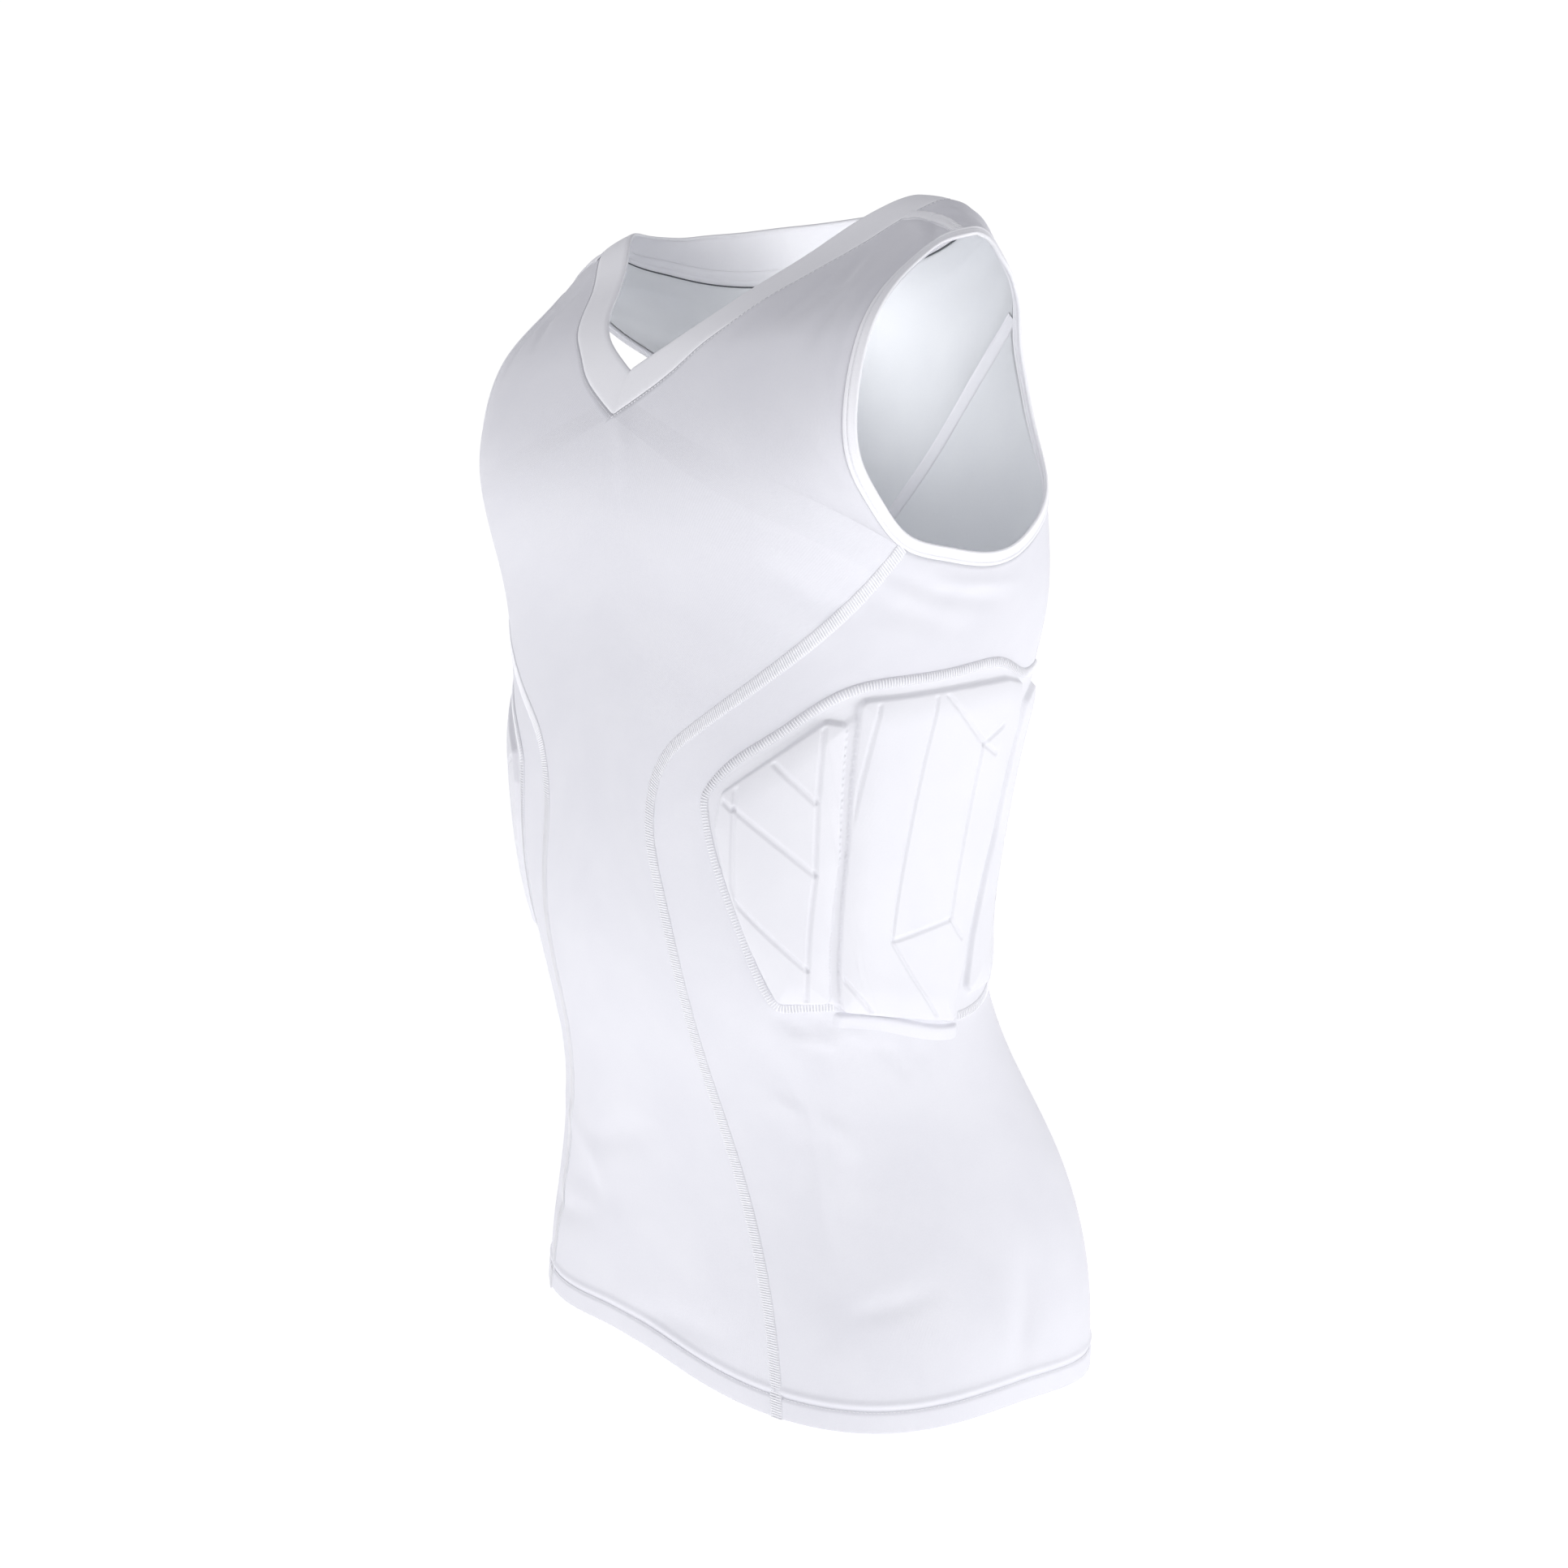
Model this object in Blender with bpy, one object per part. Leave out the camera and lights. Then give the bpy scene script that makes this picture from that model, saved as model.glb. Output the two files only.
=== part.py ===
"""Padded compression shirt: sleeveless, V neck, filled out as it is when worn, with nobody in it.

The shirt faces -Y and its wearer's left side is +X. The origin lies midway between the shoulders,
level with the shoulder line, where the wearer holds the shirt up. Every piece is cut from one smooth
figure. A place on it is an angle in degrees, from the front centre round the left side to the back
centre, and a length of cloth down from the shoulder line. A length below zero lies past that line.
"""
from collections import namedtuple

import bmesh
import bpy
import numpy as np
from mathutils import Matrix, Vector

# Cloth and trim
CLOTH = 0.0012
HEM_WALL = 2 * CLOTH
HEM_HEIGHT = 0.0125
HEM_FOLD = 0.0010
BAND_WALL = 0.0020
BAND_PROUD = 0.0004
BINDING_WALL = 0.0024
BINDING_PROUD = 0.0006
BINDING_WIDTH = 0.0080
SEAM_GAP = 0.0003
LAY_GAP = 0.0006

# Foam pads and the cover that they lie on
PAD_OUT = LAY_GAP + CLOTH + LAY_GAP
PAD_HEIGHT = 0.0060
OUTLINE_CORNER = 0.0050
PAD_EDGE = 0.0024
GROOVE_DEPTH = 0.0020
GROOVE_PAST_END = 0.0010
FLAT_CELL_WIDTH = 0.0230
FLAT_CELL_HEIGHT = 0.0270
CELL_SNAP = 0.0005
SLIVER = 0.00015
WELD = 0.00001

# Widest half width of the shoulder line, and how sharply its ends fall
SHOULDER_HALF_WIDTH = 0.200
DROP_POWER = 5

# As the shirt is worn, the left shoulder is a little higher than the right one, and further back
SHOULDER_LEAN = 0.0047
LEAN_START = -0.18
LEAN_FULL = -0.04
SHOULDER_BACK = 0.030
BACK_START = -0.080
BACK_FULL = 0.0
BACK_MOST_AT = 0.120
BACK_REACH = 0.085

KNIT_WHITE = (0.86, 0.86, 0.89, 1.0)
TRIM_WHITE = (0.92, 0.92, 0.94, 1.0)
PAD_WHITE = (0.89, 0.89, 0.92, 1.0)

# One row for each level of the figure, in metres, with how square its section is
Level = namedtuple("Level", "down height half_width front back squareness drop")
FIGURE = [
    Level(0.000, 0.008, 0.204, 0.000, 0.000, 3.5, 0.050),
    Level(0.020, -0.002, 0.204, 0.019, 0.018, 3.8, 0.044),
    Level(0.045, -0.025, 0.203, 0.037, 0.033, 4.2, 0.026),
    Level(0.075, -0.048, 0.202, 0.058, 0.049, 4.4, 0.013),
    Level(0.108, -0.073, 0.201, 0.078, 0.066, 4.6, 0.004),
    Level(0.140, -0.101, 0.200, 0.093, 0.081, 4.6, 0.001),
    Level(0.187, -0.147, 0.194, 0.109, 0.098, 4.1, 0.000),
    Level(0.257, -0.217, 0.183, 0.108, 0.124, 3.3, 0.000),
    Level(0.327, -0.287, 0.173, 0.113, 0.119, 2.8, 0.000),
    Level(0.397, -0.357, 0.164, 0.116, 0.111, 2.6, 0.000),
    Level(0.467, -0.427, 0.157, 0.111, 0.110, 2.5, 0.000),
    Level(0.539, -0.497, 0.159, 0.095, 0.135, 2.5, 0.000),
    Level(0.610, -0.566, 0.176, 0.087, 0.170, 2.5, 0.000),
    Level(0.679, -0.635, 0.193, 0.090, 0.184, 2.5, 0.000),
    Level(0.760, -0.716, 0.196, 0.097, 0.183, 2.5, 0.000),
]

# Points where seams meet, as (angle, down)
V_POINT = (0.0, 0.154)
V_EDGE = (0.0, 0.126)
NECK_AT_SHOULDER = (34.2, 0.023)
TIP_AT_SHOULDER = (47.6, 0.016)
TIP_PAST_SHOULDER = (180.0 - 47.6, -0.016)
NECK_BACK = (0.0, -0.0445)
EDGE_BACK = (0.0, -0.0195)
SEAM_AT_ARMHOLE = (68.4, 0.226)
YOKE_AT_ARMHOLE = (135.8, 0.093)
YOKE_POINT = (180.0, 0.216)

# Lines of the cut on the left half, each point an (angle, down)
NECK_SEAM = [V_POINT, (7.0, 0.1414), (12.8, 0.128), (17.2, 0.1125), (21.2, 0.098), (24.2, 0.080),
             (27.2, 0.058), (30.6, 0.040), NECK_AT_SHOULDER, (36.9, 0.007), (36.6, -0.009),
             (32.0, -0.024), (24.0, -0.036), (12.0, -0.0432), NECK_BACK]
NECK_EDGE = [V_EDGE, (6.4, 0.113), (11.4, 0.1005), (15.2, 0.086), (18.2, 0.067), (21.6, 0.045),
             (25.4, 0.025), (29.2, 0.009), (30.6, -0.003), (27.6, -0.012), (20.0, -0.0172),
             (10.0, -0.0193), EDGE_BACK]
ARMHOLE_SEAM = [TIP_AT_SHOULDER, (45.8, 0.025), (44.4, 0.048), (45.4, 0.075), (47.0, 0.102),
                (47.9, 0.130), (49.9, 0.158), (53.6, 0.183), (60.0, 0.206), SEAM_AT_ARMHOLE,
                (82.0, 0.2335), (95.0, 0.2368), (107.0, 0.2335), (117.0, 0.222), (126.0, 0.207),
                (134.0, 0.188), (139.2, 0.162), (140.2, 0.138), (138.8, 0.114), YOKE_AT_ARMHOLE,
                (131.6, 0.066), (129.2, 0.038), (129.4, 0.014), (130.6, -0.007), TIP_PAST_SHOULDER]
FRONT_SEAM = [(35.8, 0.7260), (34.4, 0.688), (32.0, 0.634), (29.2, 0.577), (26.7, 0.520), (25.2, 0.470),
              (21.6, 0.420), (18.9, 0.390), (19.0, 0.366), (22.2, 0.343), (28.0, 0.327), (40.0, 0.299),
              (55.2, 0.260), SEAM_AT_ARMHOLE]
YOKE_SEAM = [YOKE_POINT, (163.6, 0.178), (150.2, 0.135), YOKE_AT_ARMHOLE]
HEM = [(0.0, 0.715), (6.0, 0.7153), (18.0, 0.7195), FRONT_SEAM[0], (56.0, 0.7275), (76.0, 0.7245), (95.0, 0.7245),
       (118.0, 0.732), (150.0, 0.739), (180.0, 0.742)]

# The cover's outline, once round from its low front corner
COVER = [(47.6, 0.4830), (62.4, 0.4810), (78.8, 0.4870), (97.6, 0.4980), (120.0, 0.4930), (142.0, 0.4780),
         (147.4, 0.4480), (152.0, 0.4000), (153.8, 0.3500), (150.4, 0.3080), (140.0, 0.2985),
         (126.0, 0.2948), (117.0, 0.2970), (107.0, 0.2890), (95.6, 0.2900), (82.0, 0.2936),
         (69.0, 0.2955), (60.0, 0.2990), (53.0, 0.3080), (46.0, 0.3230), (35.4, 0.3460),
         (31.3, 0.3620), (32.6, 0.3800), (35.2, 0.4020), (38.2, 0.4220), (42.2, 0.4490), (44.6, 0.4670)]

# Each pad's outline and the two ends of each of its flex grooves, as (angle, down)
Pad = namedtuple("Pad", "outline grooves")
PADS = {
    "pad_front": Pad(
        [(36.2, 0.3590), (55.0, 0.3170), (59.8, 0.3190), (62.6, 0.3946), (61.2, 0.4765), (48.6, 0.4765),
         (42.6, 0.4387), (37.6, 0.4040), (35.4, 0.3781)],
        [((54.8, 0.3140), (57.4, 0.4060)), ((57.2, 0.4030), (55.1, 0.4790)), ((44.8, 0.3368), (56.4, 0.3625)),
         ((39.4, 0.3480), (40.2, 0.4200)), ((38.8, 0.3646), (57.9, 0.3990)), ((39.4, 0.4152), (57.0, 0.4568))]),
    "pad_side": Pad(
        [(61.6, 0.3060), (108.0, 0.2992), (115.2, 0.3020), (118.8, 0.3250), (117.6, 0.3460),
         (116.0, 0.3882), (112.0, 0.4277), (106.8, 0.4644), (99.0, 0.4965), (63.4, 0.4795),
         (64.2, 0.4378), (64.2, 0.3864)],
        [((82.4, 0.3020), (77.9, 0.4430)), ((66.4, 0.3060), (66.0, 0.3720)), ((84.0, 0.3020), (102.6, 0.3352)),
         ((101.0, 0.3360), (108.6, 0.3230)), ((101.9, 0.3320), (99.5, 0.4370)), ((77.2, 0.4412), (100.2, 0.4340)),
         ((98.4, 0.4322), (104.2, 0.4470)), ((77.6, 0.4392), (94.8, 0.4965)), ((64.0, 0.4590), (72.6, 0.4845))]),
    "pad_back": Pad(
        [(121.8, 0.3150), (127.0, 0.3060), (145.0, 0.3140), (150.4, 0.3500), (149.0, 0.4000),
         (144.4, 0.4440), (139.6, 0.4700), (122.0, 0.4840), (106.6, 0.4840), (110.0, 0.4644),
         (115.2, 0.4277), (119.2, 0.3882), (120.8, 0.3460)],
        [((128.6, 0.3040), (126.9, 0.4060)), ((127.2, 0.3990), (120.8, 0.4860)), ((127.0, 0.3570), (145.6, 0.3380)),
         ((126.0, 0.4000), (145.0, 0.3840)), ((123.8, 0.4320), (142.8, 0.4260)), ((145.4, 0.3270), (142.6, 0.4460))]),
}

# How finely lines are measured, how long a place is searched for, and where shading breaks
FINE_POINTS = 400
SEARCH_STEPS = 40
SHARP_ANGLE = np.radians(40)

# How many cells each line of the cut is divided into
HEM_STEPS = 2
FRONT_SEAM_STEPS = 21
ARMHOLE_FRONT_STEPS = 9
UNDERARM_STEPS = 16
ARMHOLE_BACK_STEPS = 8
NECK_FRONT_STEPS = 9
NECK_BACK_STEPS = 8
FRONT_COLUMNS = 6
YOKE_SHOULDER_STEPS = 6
BAND_STEPS = 2


def spline(knots, values, start_slope=None):
    """Cubic curve through the values, free at its ends unless a start slope is given."""
    knots = np.asarray(knots, float)
    values = np.asarray(values, float)
    gaps = np.diff(knots)
    slopes = np.diff(values) / gaps
    system = np.eye(len(knots))
    right = np.zeros(len(knots))
    for i in range(1, len(knots) - 1):
        system[i, i - 1:i + 2] = gaps[i - 1], 2 * (gaps[i - 1] + gaps[i]), gaps[i]
        right[i] = 6 * (slopes[i] - slopes[i - 1])
    if start_slope is not None:
        system[0, :2] = 2 * gaps[0], gaps[0]
        right[0] = 6 * (slopes[0] - start_slope)
    bends = np.linalg.solve(system, right)

    def value_at(place):
        place = np.clip(place, knots[0], knots[-1])
        i = np.clip(np.searchsorted(knots, place) - 1, 0, len(gaps) - 1)
        gap = gaps[i]
        past = place - knots[i]
        left = knots[i + 1] - place
        cubic = (bends[i] * left ** 3 + bends[i + 1] * past ** 3) / (6 * gap)
        straight = (values[i] * left + values[i + 1] * past) / gap
        return cubic + straight - (bends[i] * left + bends[i + 1] * past) * gap / 6

    return value_at


LEVEL_DOWN = [level.down for level in FIGURE]
START_SLOPES = {"height": 0.0, "front": 1.0, "back": 1.0}
COLUMNS = {
    name: spline(LEVEL_DOWN, [getattr(level, name) for level in FIGURE], START_SLOPES.get(name))
    for name in Level._fields[1:]
}


def figure(places):
    """Points on the outside of the cloth at an array of (angle, down) places."""
    angle = places[..., 0]
    down = places[..., 1]
    side = np.where(angle < 0, -1.0, 1.0)
    turned = side * (180 - np.abs(angle))
    angle = np.radians(np.where(down < 0, turned, angle))
    level = {name: column(np.abs(down)) for name, column in COLUMNS.items()}
    across = np.sin(angle)
    fore = np.cos(angle)
    power = level["squareness"]
    reach = (np.abs(across) ** power + np.abs(fore) ** power) ** (-1 / power)
    x = level["half_width"] * across * reach
    depth = (level["front"] + level["back"]) / 2
    centre = (level["back"] - level["front"]) / 2
    y = centre - depth * fore * reach
    z = level["height"] - level["drop"] * (np.abs(x) / SHOULDER_HALF_WIDTH) ** DROP_POWER
    return np.stack([x, y, z], axis=-1)


def slopes_at(places):
    """How a point moves for one degree of angle and for one metre down."""
    turn = np.array([0.5, 0.0])
    drop = np.array([0.0, 0.0005])
    by_angle = (figure(places + turn) - figure(places - turn)) / (2 * turn[0])
    by_down = (figure(places + drop) - figure(places - drop)) / (2 * drop[1])
    return by_angle, by_down


def outward(places):
    """Unit vectors that point out of the cloth."""
    by_angle, by_down = slopes_at(places)
    normal = np.cross(by_down, by_angle)
    return normal / np.linalg.norm(normal, axis=-1, keepdims=True)


def lengths_along(points):
    """Length from the first point to each point of a line."""
    steps = np.linalg.norm(np.diff(points, axis=0), axis=1)
    return np.concatenate([[0.0], np.cumsum(steps)])


def leg(line, start, end, steps):
    """Places in even steps of cloth along a smooth line, between two of its own points."""
    table = np.array(line, float)
    knots = lengths_along(figure(table))
    angle_at = spline(knots, table[:, 0])
    down_at = spline(knots, table[:, 1])
    fine = np.linspace(knots[line.index(start)], knots[line.index(end)], FINE_POINTS)
    places = np.stack([angle_at(fine), down_at(fine)], axis=-1)
    length = lengths_along(figure(places))
    even = np.linspace(0.0, length[-1], steps + 1)
    return np.stack([np.interp(even, length, places[:, k]) for k in (0, 1)], axis=-1)


def whole(line, steps):
    return leg(line, line[0], line[-1], steps)


def join(*legs):
    """One run of places from legs that meet end to end."""
    return np.concatenate([part[:-1] for part in legs[:-1]] + [legs[-1]])


def straight(start, end, steps):
    share = np.linspace(0.0, 1.0, steps + 1)[:, None]
    return np.array(start) * (1 - share) + np.array(end) * share


def from_hem(line):
    """The same line with two more places near its start, for the turned-up hem and its fold."""
    length = lengths_along(figure(line))
    hem_places = [0.0, HEM_HEIGHT, HEM_HEIGHT + HEM_FOLD]
    even = np.linspace(hem_places[-1], length[-1], len(line))[1:]
    where = np.concatenate([hem_places, even])
    return np.stack([np.interp(where, length, line[:, k]) for k in (0, 1)], axis=-1)


def patch(bottom, top, left, right):
    """Rows of places that fill the space between four lines."""
    def share(first, second):
        runs = [lengths_along(figure(line)) for line in (first, second)]
        return sum(run / run[-1] for run in runs) / 2

    s = share(bottom, top)[None, :, None]
    t = share(left, right)[:, None, None]
    up = bottom[None] * (1 - t) + top[None] * t
    over = left[:, None] * (1 - s) + right[:, None] * s
    corners = (bottom[0] * (1 - s) + bottom[-1] * s) * (1 - t) + (top[0] * (1 - s) + top[-1] * s) * t
    return up + over - corners


def past_shoulder(places):
    """The same places, measured from the other side of the shoulder line."""
    return np.array([180.0, 0.0]) - places


def walk(line, distance):
    """The same line moved over the figure, square to itself. Above zero is to its right."""
    points = figure(line)
    ahead = np.gradient(points, axis=0)
    sideways = np.cross(ahead, outward(line))
    sideways /= np.linalg.norm(sideways, axis=-1, keepdims=True)
    by_angle, by_down = slopes_at(line)
    slopes = np.stack([by_angle, by_down], axis=-1)
    moves = [np.linalg.lstsq(slope, move * distance, rcond=None)[0] for slope, move in zip(slopes, sideways)]
    return line + np.array(moves)


def leave_seam_gap(points, normals, seams, ring):
    """Draw each sewn edge back by half of the seam gap, along the cloth."""
    moved = points.copy()
    for side, first in seams.items():
        lines, line_normals, targets = points, normals, moved
        if side in ("left", "right"):
            lines, line_normals, targets = [grid.swapaxes(0, 1) for grid in (points, normals, moved)]
        edge, inner = (0, 1) if side in ("bottom", "left") else (-1, -2)
        line = lines[edge][first:]
        if ring:
            run = np.gradient(np.concatenate([line[-2:-1], line, line[1:2]]), axis=0)[1:-1]
        else:
            run = np.gradient(line, axis=0)
        inwards = np.cross(line_normals[edge][first:], run)
        inwards /= np.linalg.norm(inwards, axis=-1, keepdims=True)
        facing = np.sign(np.sum(inwards * (lines[inner][first:] - line), axis=-1, keepdims=True))
        targets[edge][first:] += inwards * facing * SEAM_GAP / 2
    return moved


def new_material(name, colour):
    material = bpy.data.materials.new(name)
    material.use_nodes = True
    shader = material.node_tree.nodes["Principled BSDF"]
    shader.inputs["Base Color"].default_value = colour
    shader.inputs["Roughness"].default_value = 0.75
    shader.inputs["Metallic"].default_value = 0.0
    return material


def add_piece(name, bm, collection, colour):
    """Make one named object with its own material from a finished mesh."""
    mesh = bpy.data.meshes.new(name)
    bm.to_mesh(mesh)
    bm.free()
    mesh.materials.append(new_material(name + "_knit", colour))
    mesh.shade_smooth()
    mesh.set_sharp_from_angle(angle=SHARP_ANGLE)
    piece = bpy.data.objects.new(name, mesh)
    collection.objects.link(piece)
    return piece


def cloth_wall(name, places, collection, seams, colour=KNIT_WHITE, out=0.0, wall=CLOTH, ring=False,
               half=False, hem=False):
    """A wall of cloth over rows of places, its outer face out from the figure by the given height.

    Seams gives each sewn side and the first of its points that is sewn. A ring's last column is its
    first one again. A half is mirrored, and joined to its twin along the centre line.
    """
    normals = outward(places)
    outer = leave_seam_gap(figure(places) + normals * out, normals, seams, ring)
    thickness = np.full(places.shape[:2] + (1,), wall)
    if hem:
        thickness[:HEM_STEPS] = HEM_WALL
    inner = outer - normals * thickness
    if half:
        for face in (outer, inner):
            face[..., 0][np.abs(face[..., 0]) < SEAM_GAP] = 0.0
    rows, columns = places.shape[:2]
    bm = bmesh.new()
    bmesh.ops.create_grid(bm, x_segments=columns - 1, y_segments=rows - 1, size=0.5)
    cells = {}
    inside = {}
    for vert in bm.verts:
        cells[vert] = round((vert.co.y + 0.5) * (rows - 1)), round((vert.co.x + 0.5) * (columns - 1))
    for face in list(bm.faces):
        corners = sorted(face.verts, key=lambda vert: sum(cells[vert]))
        bmesh.utils.face_split(face, corners[0], corners[-1])
    for vert, cell in cells.items():
        vert.co = outer[cell]
        inside[tuple(vert.co)] = Vector(inner[cell])
    if half:
        bmesh.ops.mirror(bm, geom=list(bm.verts) + list(bm.edges) + list(bm.faces), axis="X",
                         matrix=Matrix.Identity(4), merge_dist=WELD)
        across = Vector((-1.0, 1.0, 1.0))
        inside.update({(-x, y, z): across * point for (x, y, z), point in list(inside.items())})
    if ring:
        bmesh.ops.remove_doubles(bm, verts=bm.verts, dist=WELD)
    grown = bmesh.ops.extrude_face_region(bm, geom=list(bm.faces))["geom"]
    for vert in [item for item in grown if isinstance(item, bmesh.types.BMVert)]:
        vert.co = inside[tuple(vert.co)]
    bmesh.ops.recalc_face_normals(bm, faces=bm.faces)
    return add_piece(name, bm, collection, colour)


def on_grid(grid, spots):
    """Values on the facets of a grid, each cell split from its low left corner to its high right one."""
    rows, columns = grid.shape[:2]
    cell = np.clip(np.floor(spots), 0, [columns - 2, rows - 2]).astype(int)
    past = spots - cell
    i, j = cell[..., 0], cell[..., 1]
    s, t = past[..., :1], past[..., 1:]
    corner, far = grid[j, i], grid[j + 1, i + 1]
    below = corner + (grid[j, i + 1] - corner) * s + (far - grid[j, i + 1]) * t
    above = corner + (grid[j + 1, i] - corner) * t + (far - grid[j + 1, i]) * s
    return np.where(s > t, below, above)


def flat(place, panel):
    """Where a place of the figure comes on the panel laid flat, found by stepping towards it."""
    rows, columns = panel.shape[:2]
    spot = np.array([columns / 2, rows / 2])
    nudge = 0.01
    for _ in range(SEARCH_STEPS):
        here = on_grid(panel, spot)
        by_column = (on_grid(panel, spot + [nudge, 0.0]) - here) / nudge
        by_row = (on_grid(panel, spot + [0.0, nudge]) - here) / nudge
        spot = spot + np.linalg.solve(np.stack([by_column, by_row], axis=1), np.array(place) - here)
    return Vector((spot[0] * FLAT_CELL_WIDTH, spot[1] * FLAT_CELL_HEIGHT, 0.0))


def groove_cutter(start, end, panel, cutters):
    """A square bar on its corner, whose lower half cuts a V groove into the pad's top."""
    start = flat(start, panel)
    end = flat(end, panel)
    ahead = (end - start).normalized()
    length = (end - start).length + 2 * GROOVE_PAST_END
    bar_side = GROOVE_DEPTH * 2 ** 0.5
    bm = bmesh.new()
    bmesh.ops.create_cube(bm, size=1.0)
    bmesh.ops.scale(bm, vec=(length, bar_side, bar_side), verts=bm.verts)
    bmesh.ops.rotate(bm, matrix=Matrix.Rotation(np.pi / 4, 3, "X"), verts=bm.verts)
    bmesh.ops.rotate(bm, matrix=Matrix.Rotation(np.arctan2(ahead.y, ahead.x), 3, "Z"), verts=bm.verts)
    bmesh.ops.translate(bm, vec=(start + end) / 2 + Vector((0.0, 0.0, PAD_HEIGHT)), verts=bm.verts)
    mesh = bpy.data.meshes.new("groove_cutter")
    bm.to_mesh(mesh)
    bm.free()
    cutter = bpy.data.objects.new("groove_cutter", mesh)
    cutter.hide_render = True
    cutter.display_type = "WIRE"
    cutters.objects.link(cutter)
    return cutter


def flat_slab(outline, panel, height):
    """A closed slab over an outline, on the panel laid flat."""
    bm = bmesh.new()
    face = bm.faces.new([bm.verts.new(flat(place, panel)) for place in outline])
    bmesh.ops.bevel(bm, geom=list(face.verts), offset=OUTLINE_CORNER, segments=2, profile=0.5,
                    affect="VERTICES", clamp_overlap=True)
    raised = bmesh.ops.extrude_face_region(bm, geom=list(bm.faces))["geom"]
    top = [item for item in raised if isinstance(item, bmesh.types.BMVert)]
    bmesh.ops.translate(bm, vec=(0.0, 0.0, height), verts=top)
    bmesh.ops.recalc_face_normals(bm, faces=bm.faces)
    return bm, top


def bend_onto(panel, bm, out):
    """Bend a flat slab over the panel, in the panel's own facets."""
    rows, columns = panel.shape[:2]
    by_column = Vector((1 / FLAT_CELL_WIDTH, 0.0, 0.0))
    by_row = Vector((0.0, 1 / FLAT_CELL_HEIGHT, 0.0))
    for across in (by_column, by_row, by_column - by_row):
        for line in range(-rows, max(rows, columns)):
            everything = list(bm.verts) + list(bm.edges) + list(bm.faces)
            place = across * line / across.length_squared
            bmesh.ops.bisect_plane(bm, geom=everything, plane_co=place, plane_no=across, dist=CELL_SNAP)
    spots = np.array([(vert.co.x / FLAT_CELL_WIDTH, vert.co.y / FLAT_CELL_HEIGHT) for vert in bm.verts])
    heights = np.array([vert.co.z for vert in bm.verts])[:, None]
    points = on_grid(figure(panel), spots) + on_grid(outward(panel), spots) * (out + heights)
    for vert, point in zip(bm.verts, points):
        vert.co = point


def foam_pad(name, pad, panel, collection, cutters):
    """Cut a pad's grooves while it is flat, then bend it onto its cover."""
    bm, top = flat_slab(pad.outline, panel, PAD_HEIGHT)
    rim = [edge for edge in bm.edges if edge.verts[0] in top and edge.verts[1] in top]
    bmesh.ops.bevel(bm, geom=rim, offset=PAD_EDGE, segments=2, profile=0.5, affect="EDGES",
                    clamp_overlap=True)
    mesh = bpy.data.meshes.new("flat_pad")
    bm.to_mesh(mesh)
    slab = bpy.data.objects.new("flat_pad", mesh)
    cutters.objects.link(slab)
    bars = [groove_cutter(start, end, panel, cutters) for start, end in pad.grooves]
    for bar in bars:
        cut = slab.modifiers.new("groove", "BOOLEAN")
        cut.operation = "DIFFERENCE"
        cut.object = bar
    bpy.context.view_layer.update()
    bm.clear()
    bm.from_mesh(slab.evaluated_get(bpy.context.evaluated_depsgraph_get()).to_mesh())
    for guide in [slab] + bars:
        bpy.data.objects.remove(guide)
    bmesh.ops.dissolve_degenerate(bm, edges=bm.edges, dist=SLIVER)
    bend_onto(panel, bm, PAD_OUT)
    return add_piece(name, bm, collection, PAD_WHITE)


def pad_cover(panel, collection):
    bm = flat_slab(COVER, panel, CLOTH)[0]
    bend_onto(panel, bm, LAY_GAP)
    return add_piece("pad_cover_left", bm, collection, KNIT_WHITE)


def ease(share):
    share = min(max(share, 0.0), 1.0)
    return share * share * (3 - 2 * share)


def pose(piece):
    """Raise the left shoulder and lower the right one, most at their tips, and hold the left one back."""
    for vert in piece.data.vertices:
        x, _, z = vert.co
        lean = ease((z - LEAN_START) / (LEAN_FULL - LEAN_START))
        back = ease((z - BACK_START) / (BACK_FULL - BACK_START))
        vert.co.y += SHOULDER_BACK * back * np.exp(-((x - BACK_MOST_AT) / BACK_REACH) ** 2)
        vert.co.z += SHOULDER_LEAN * lean * (x / SHOULDER_HALF_WIDTH) ** 3


def mirrored(piece, name, collection):
    """The right-hand twin of a left-hand piece."""
    bm = bmesh.new()
    bm.from_mesh(piece.data)
    bmesh.ops.scale(bm, vec=(-1.0, 1.0, 1.0), verts=bm.verts)
    bmesh.ops.reverse_faces(bm, faces=bm.faces)
    colour = piece.data.materials[0].node_tree.nodes["Principled BSDF"].inputs["Base Color"].default_value
    return add_piece(name, bm, collection, tuple(colour))


def side_panel():
    """Places of the left side panel, from the hem to the armhole and the yoke seam."""
    left = from_hem(whole(FRONT_SEAM, FRONT_SEAM_STEPS))
    top = leg(ARMHOLE_SEAM, SEAM_AT_ARMHOLE, YOKE_AT_ARMHOLE, UNDERARM_STEPS)
    centre = from_hem(straight(HEM[-1], YOKE_POINT, FRONT_SEAM_STEPS - NECK_BACK_STEPS))
    right = join(centre, whole(YOKE_SEAM, NECK_BACK_STEPS))
    bottom = leg(HEM, FRONT_SEAM[0], HEM[-1], UNDERARM_STEPS)
    return patch(bottom, top, left, right)


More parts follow.
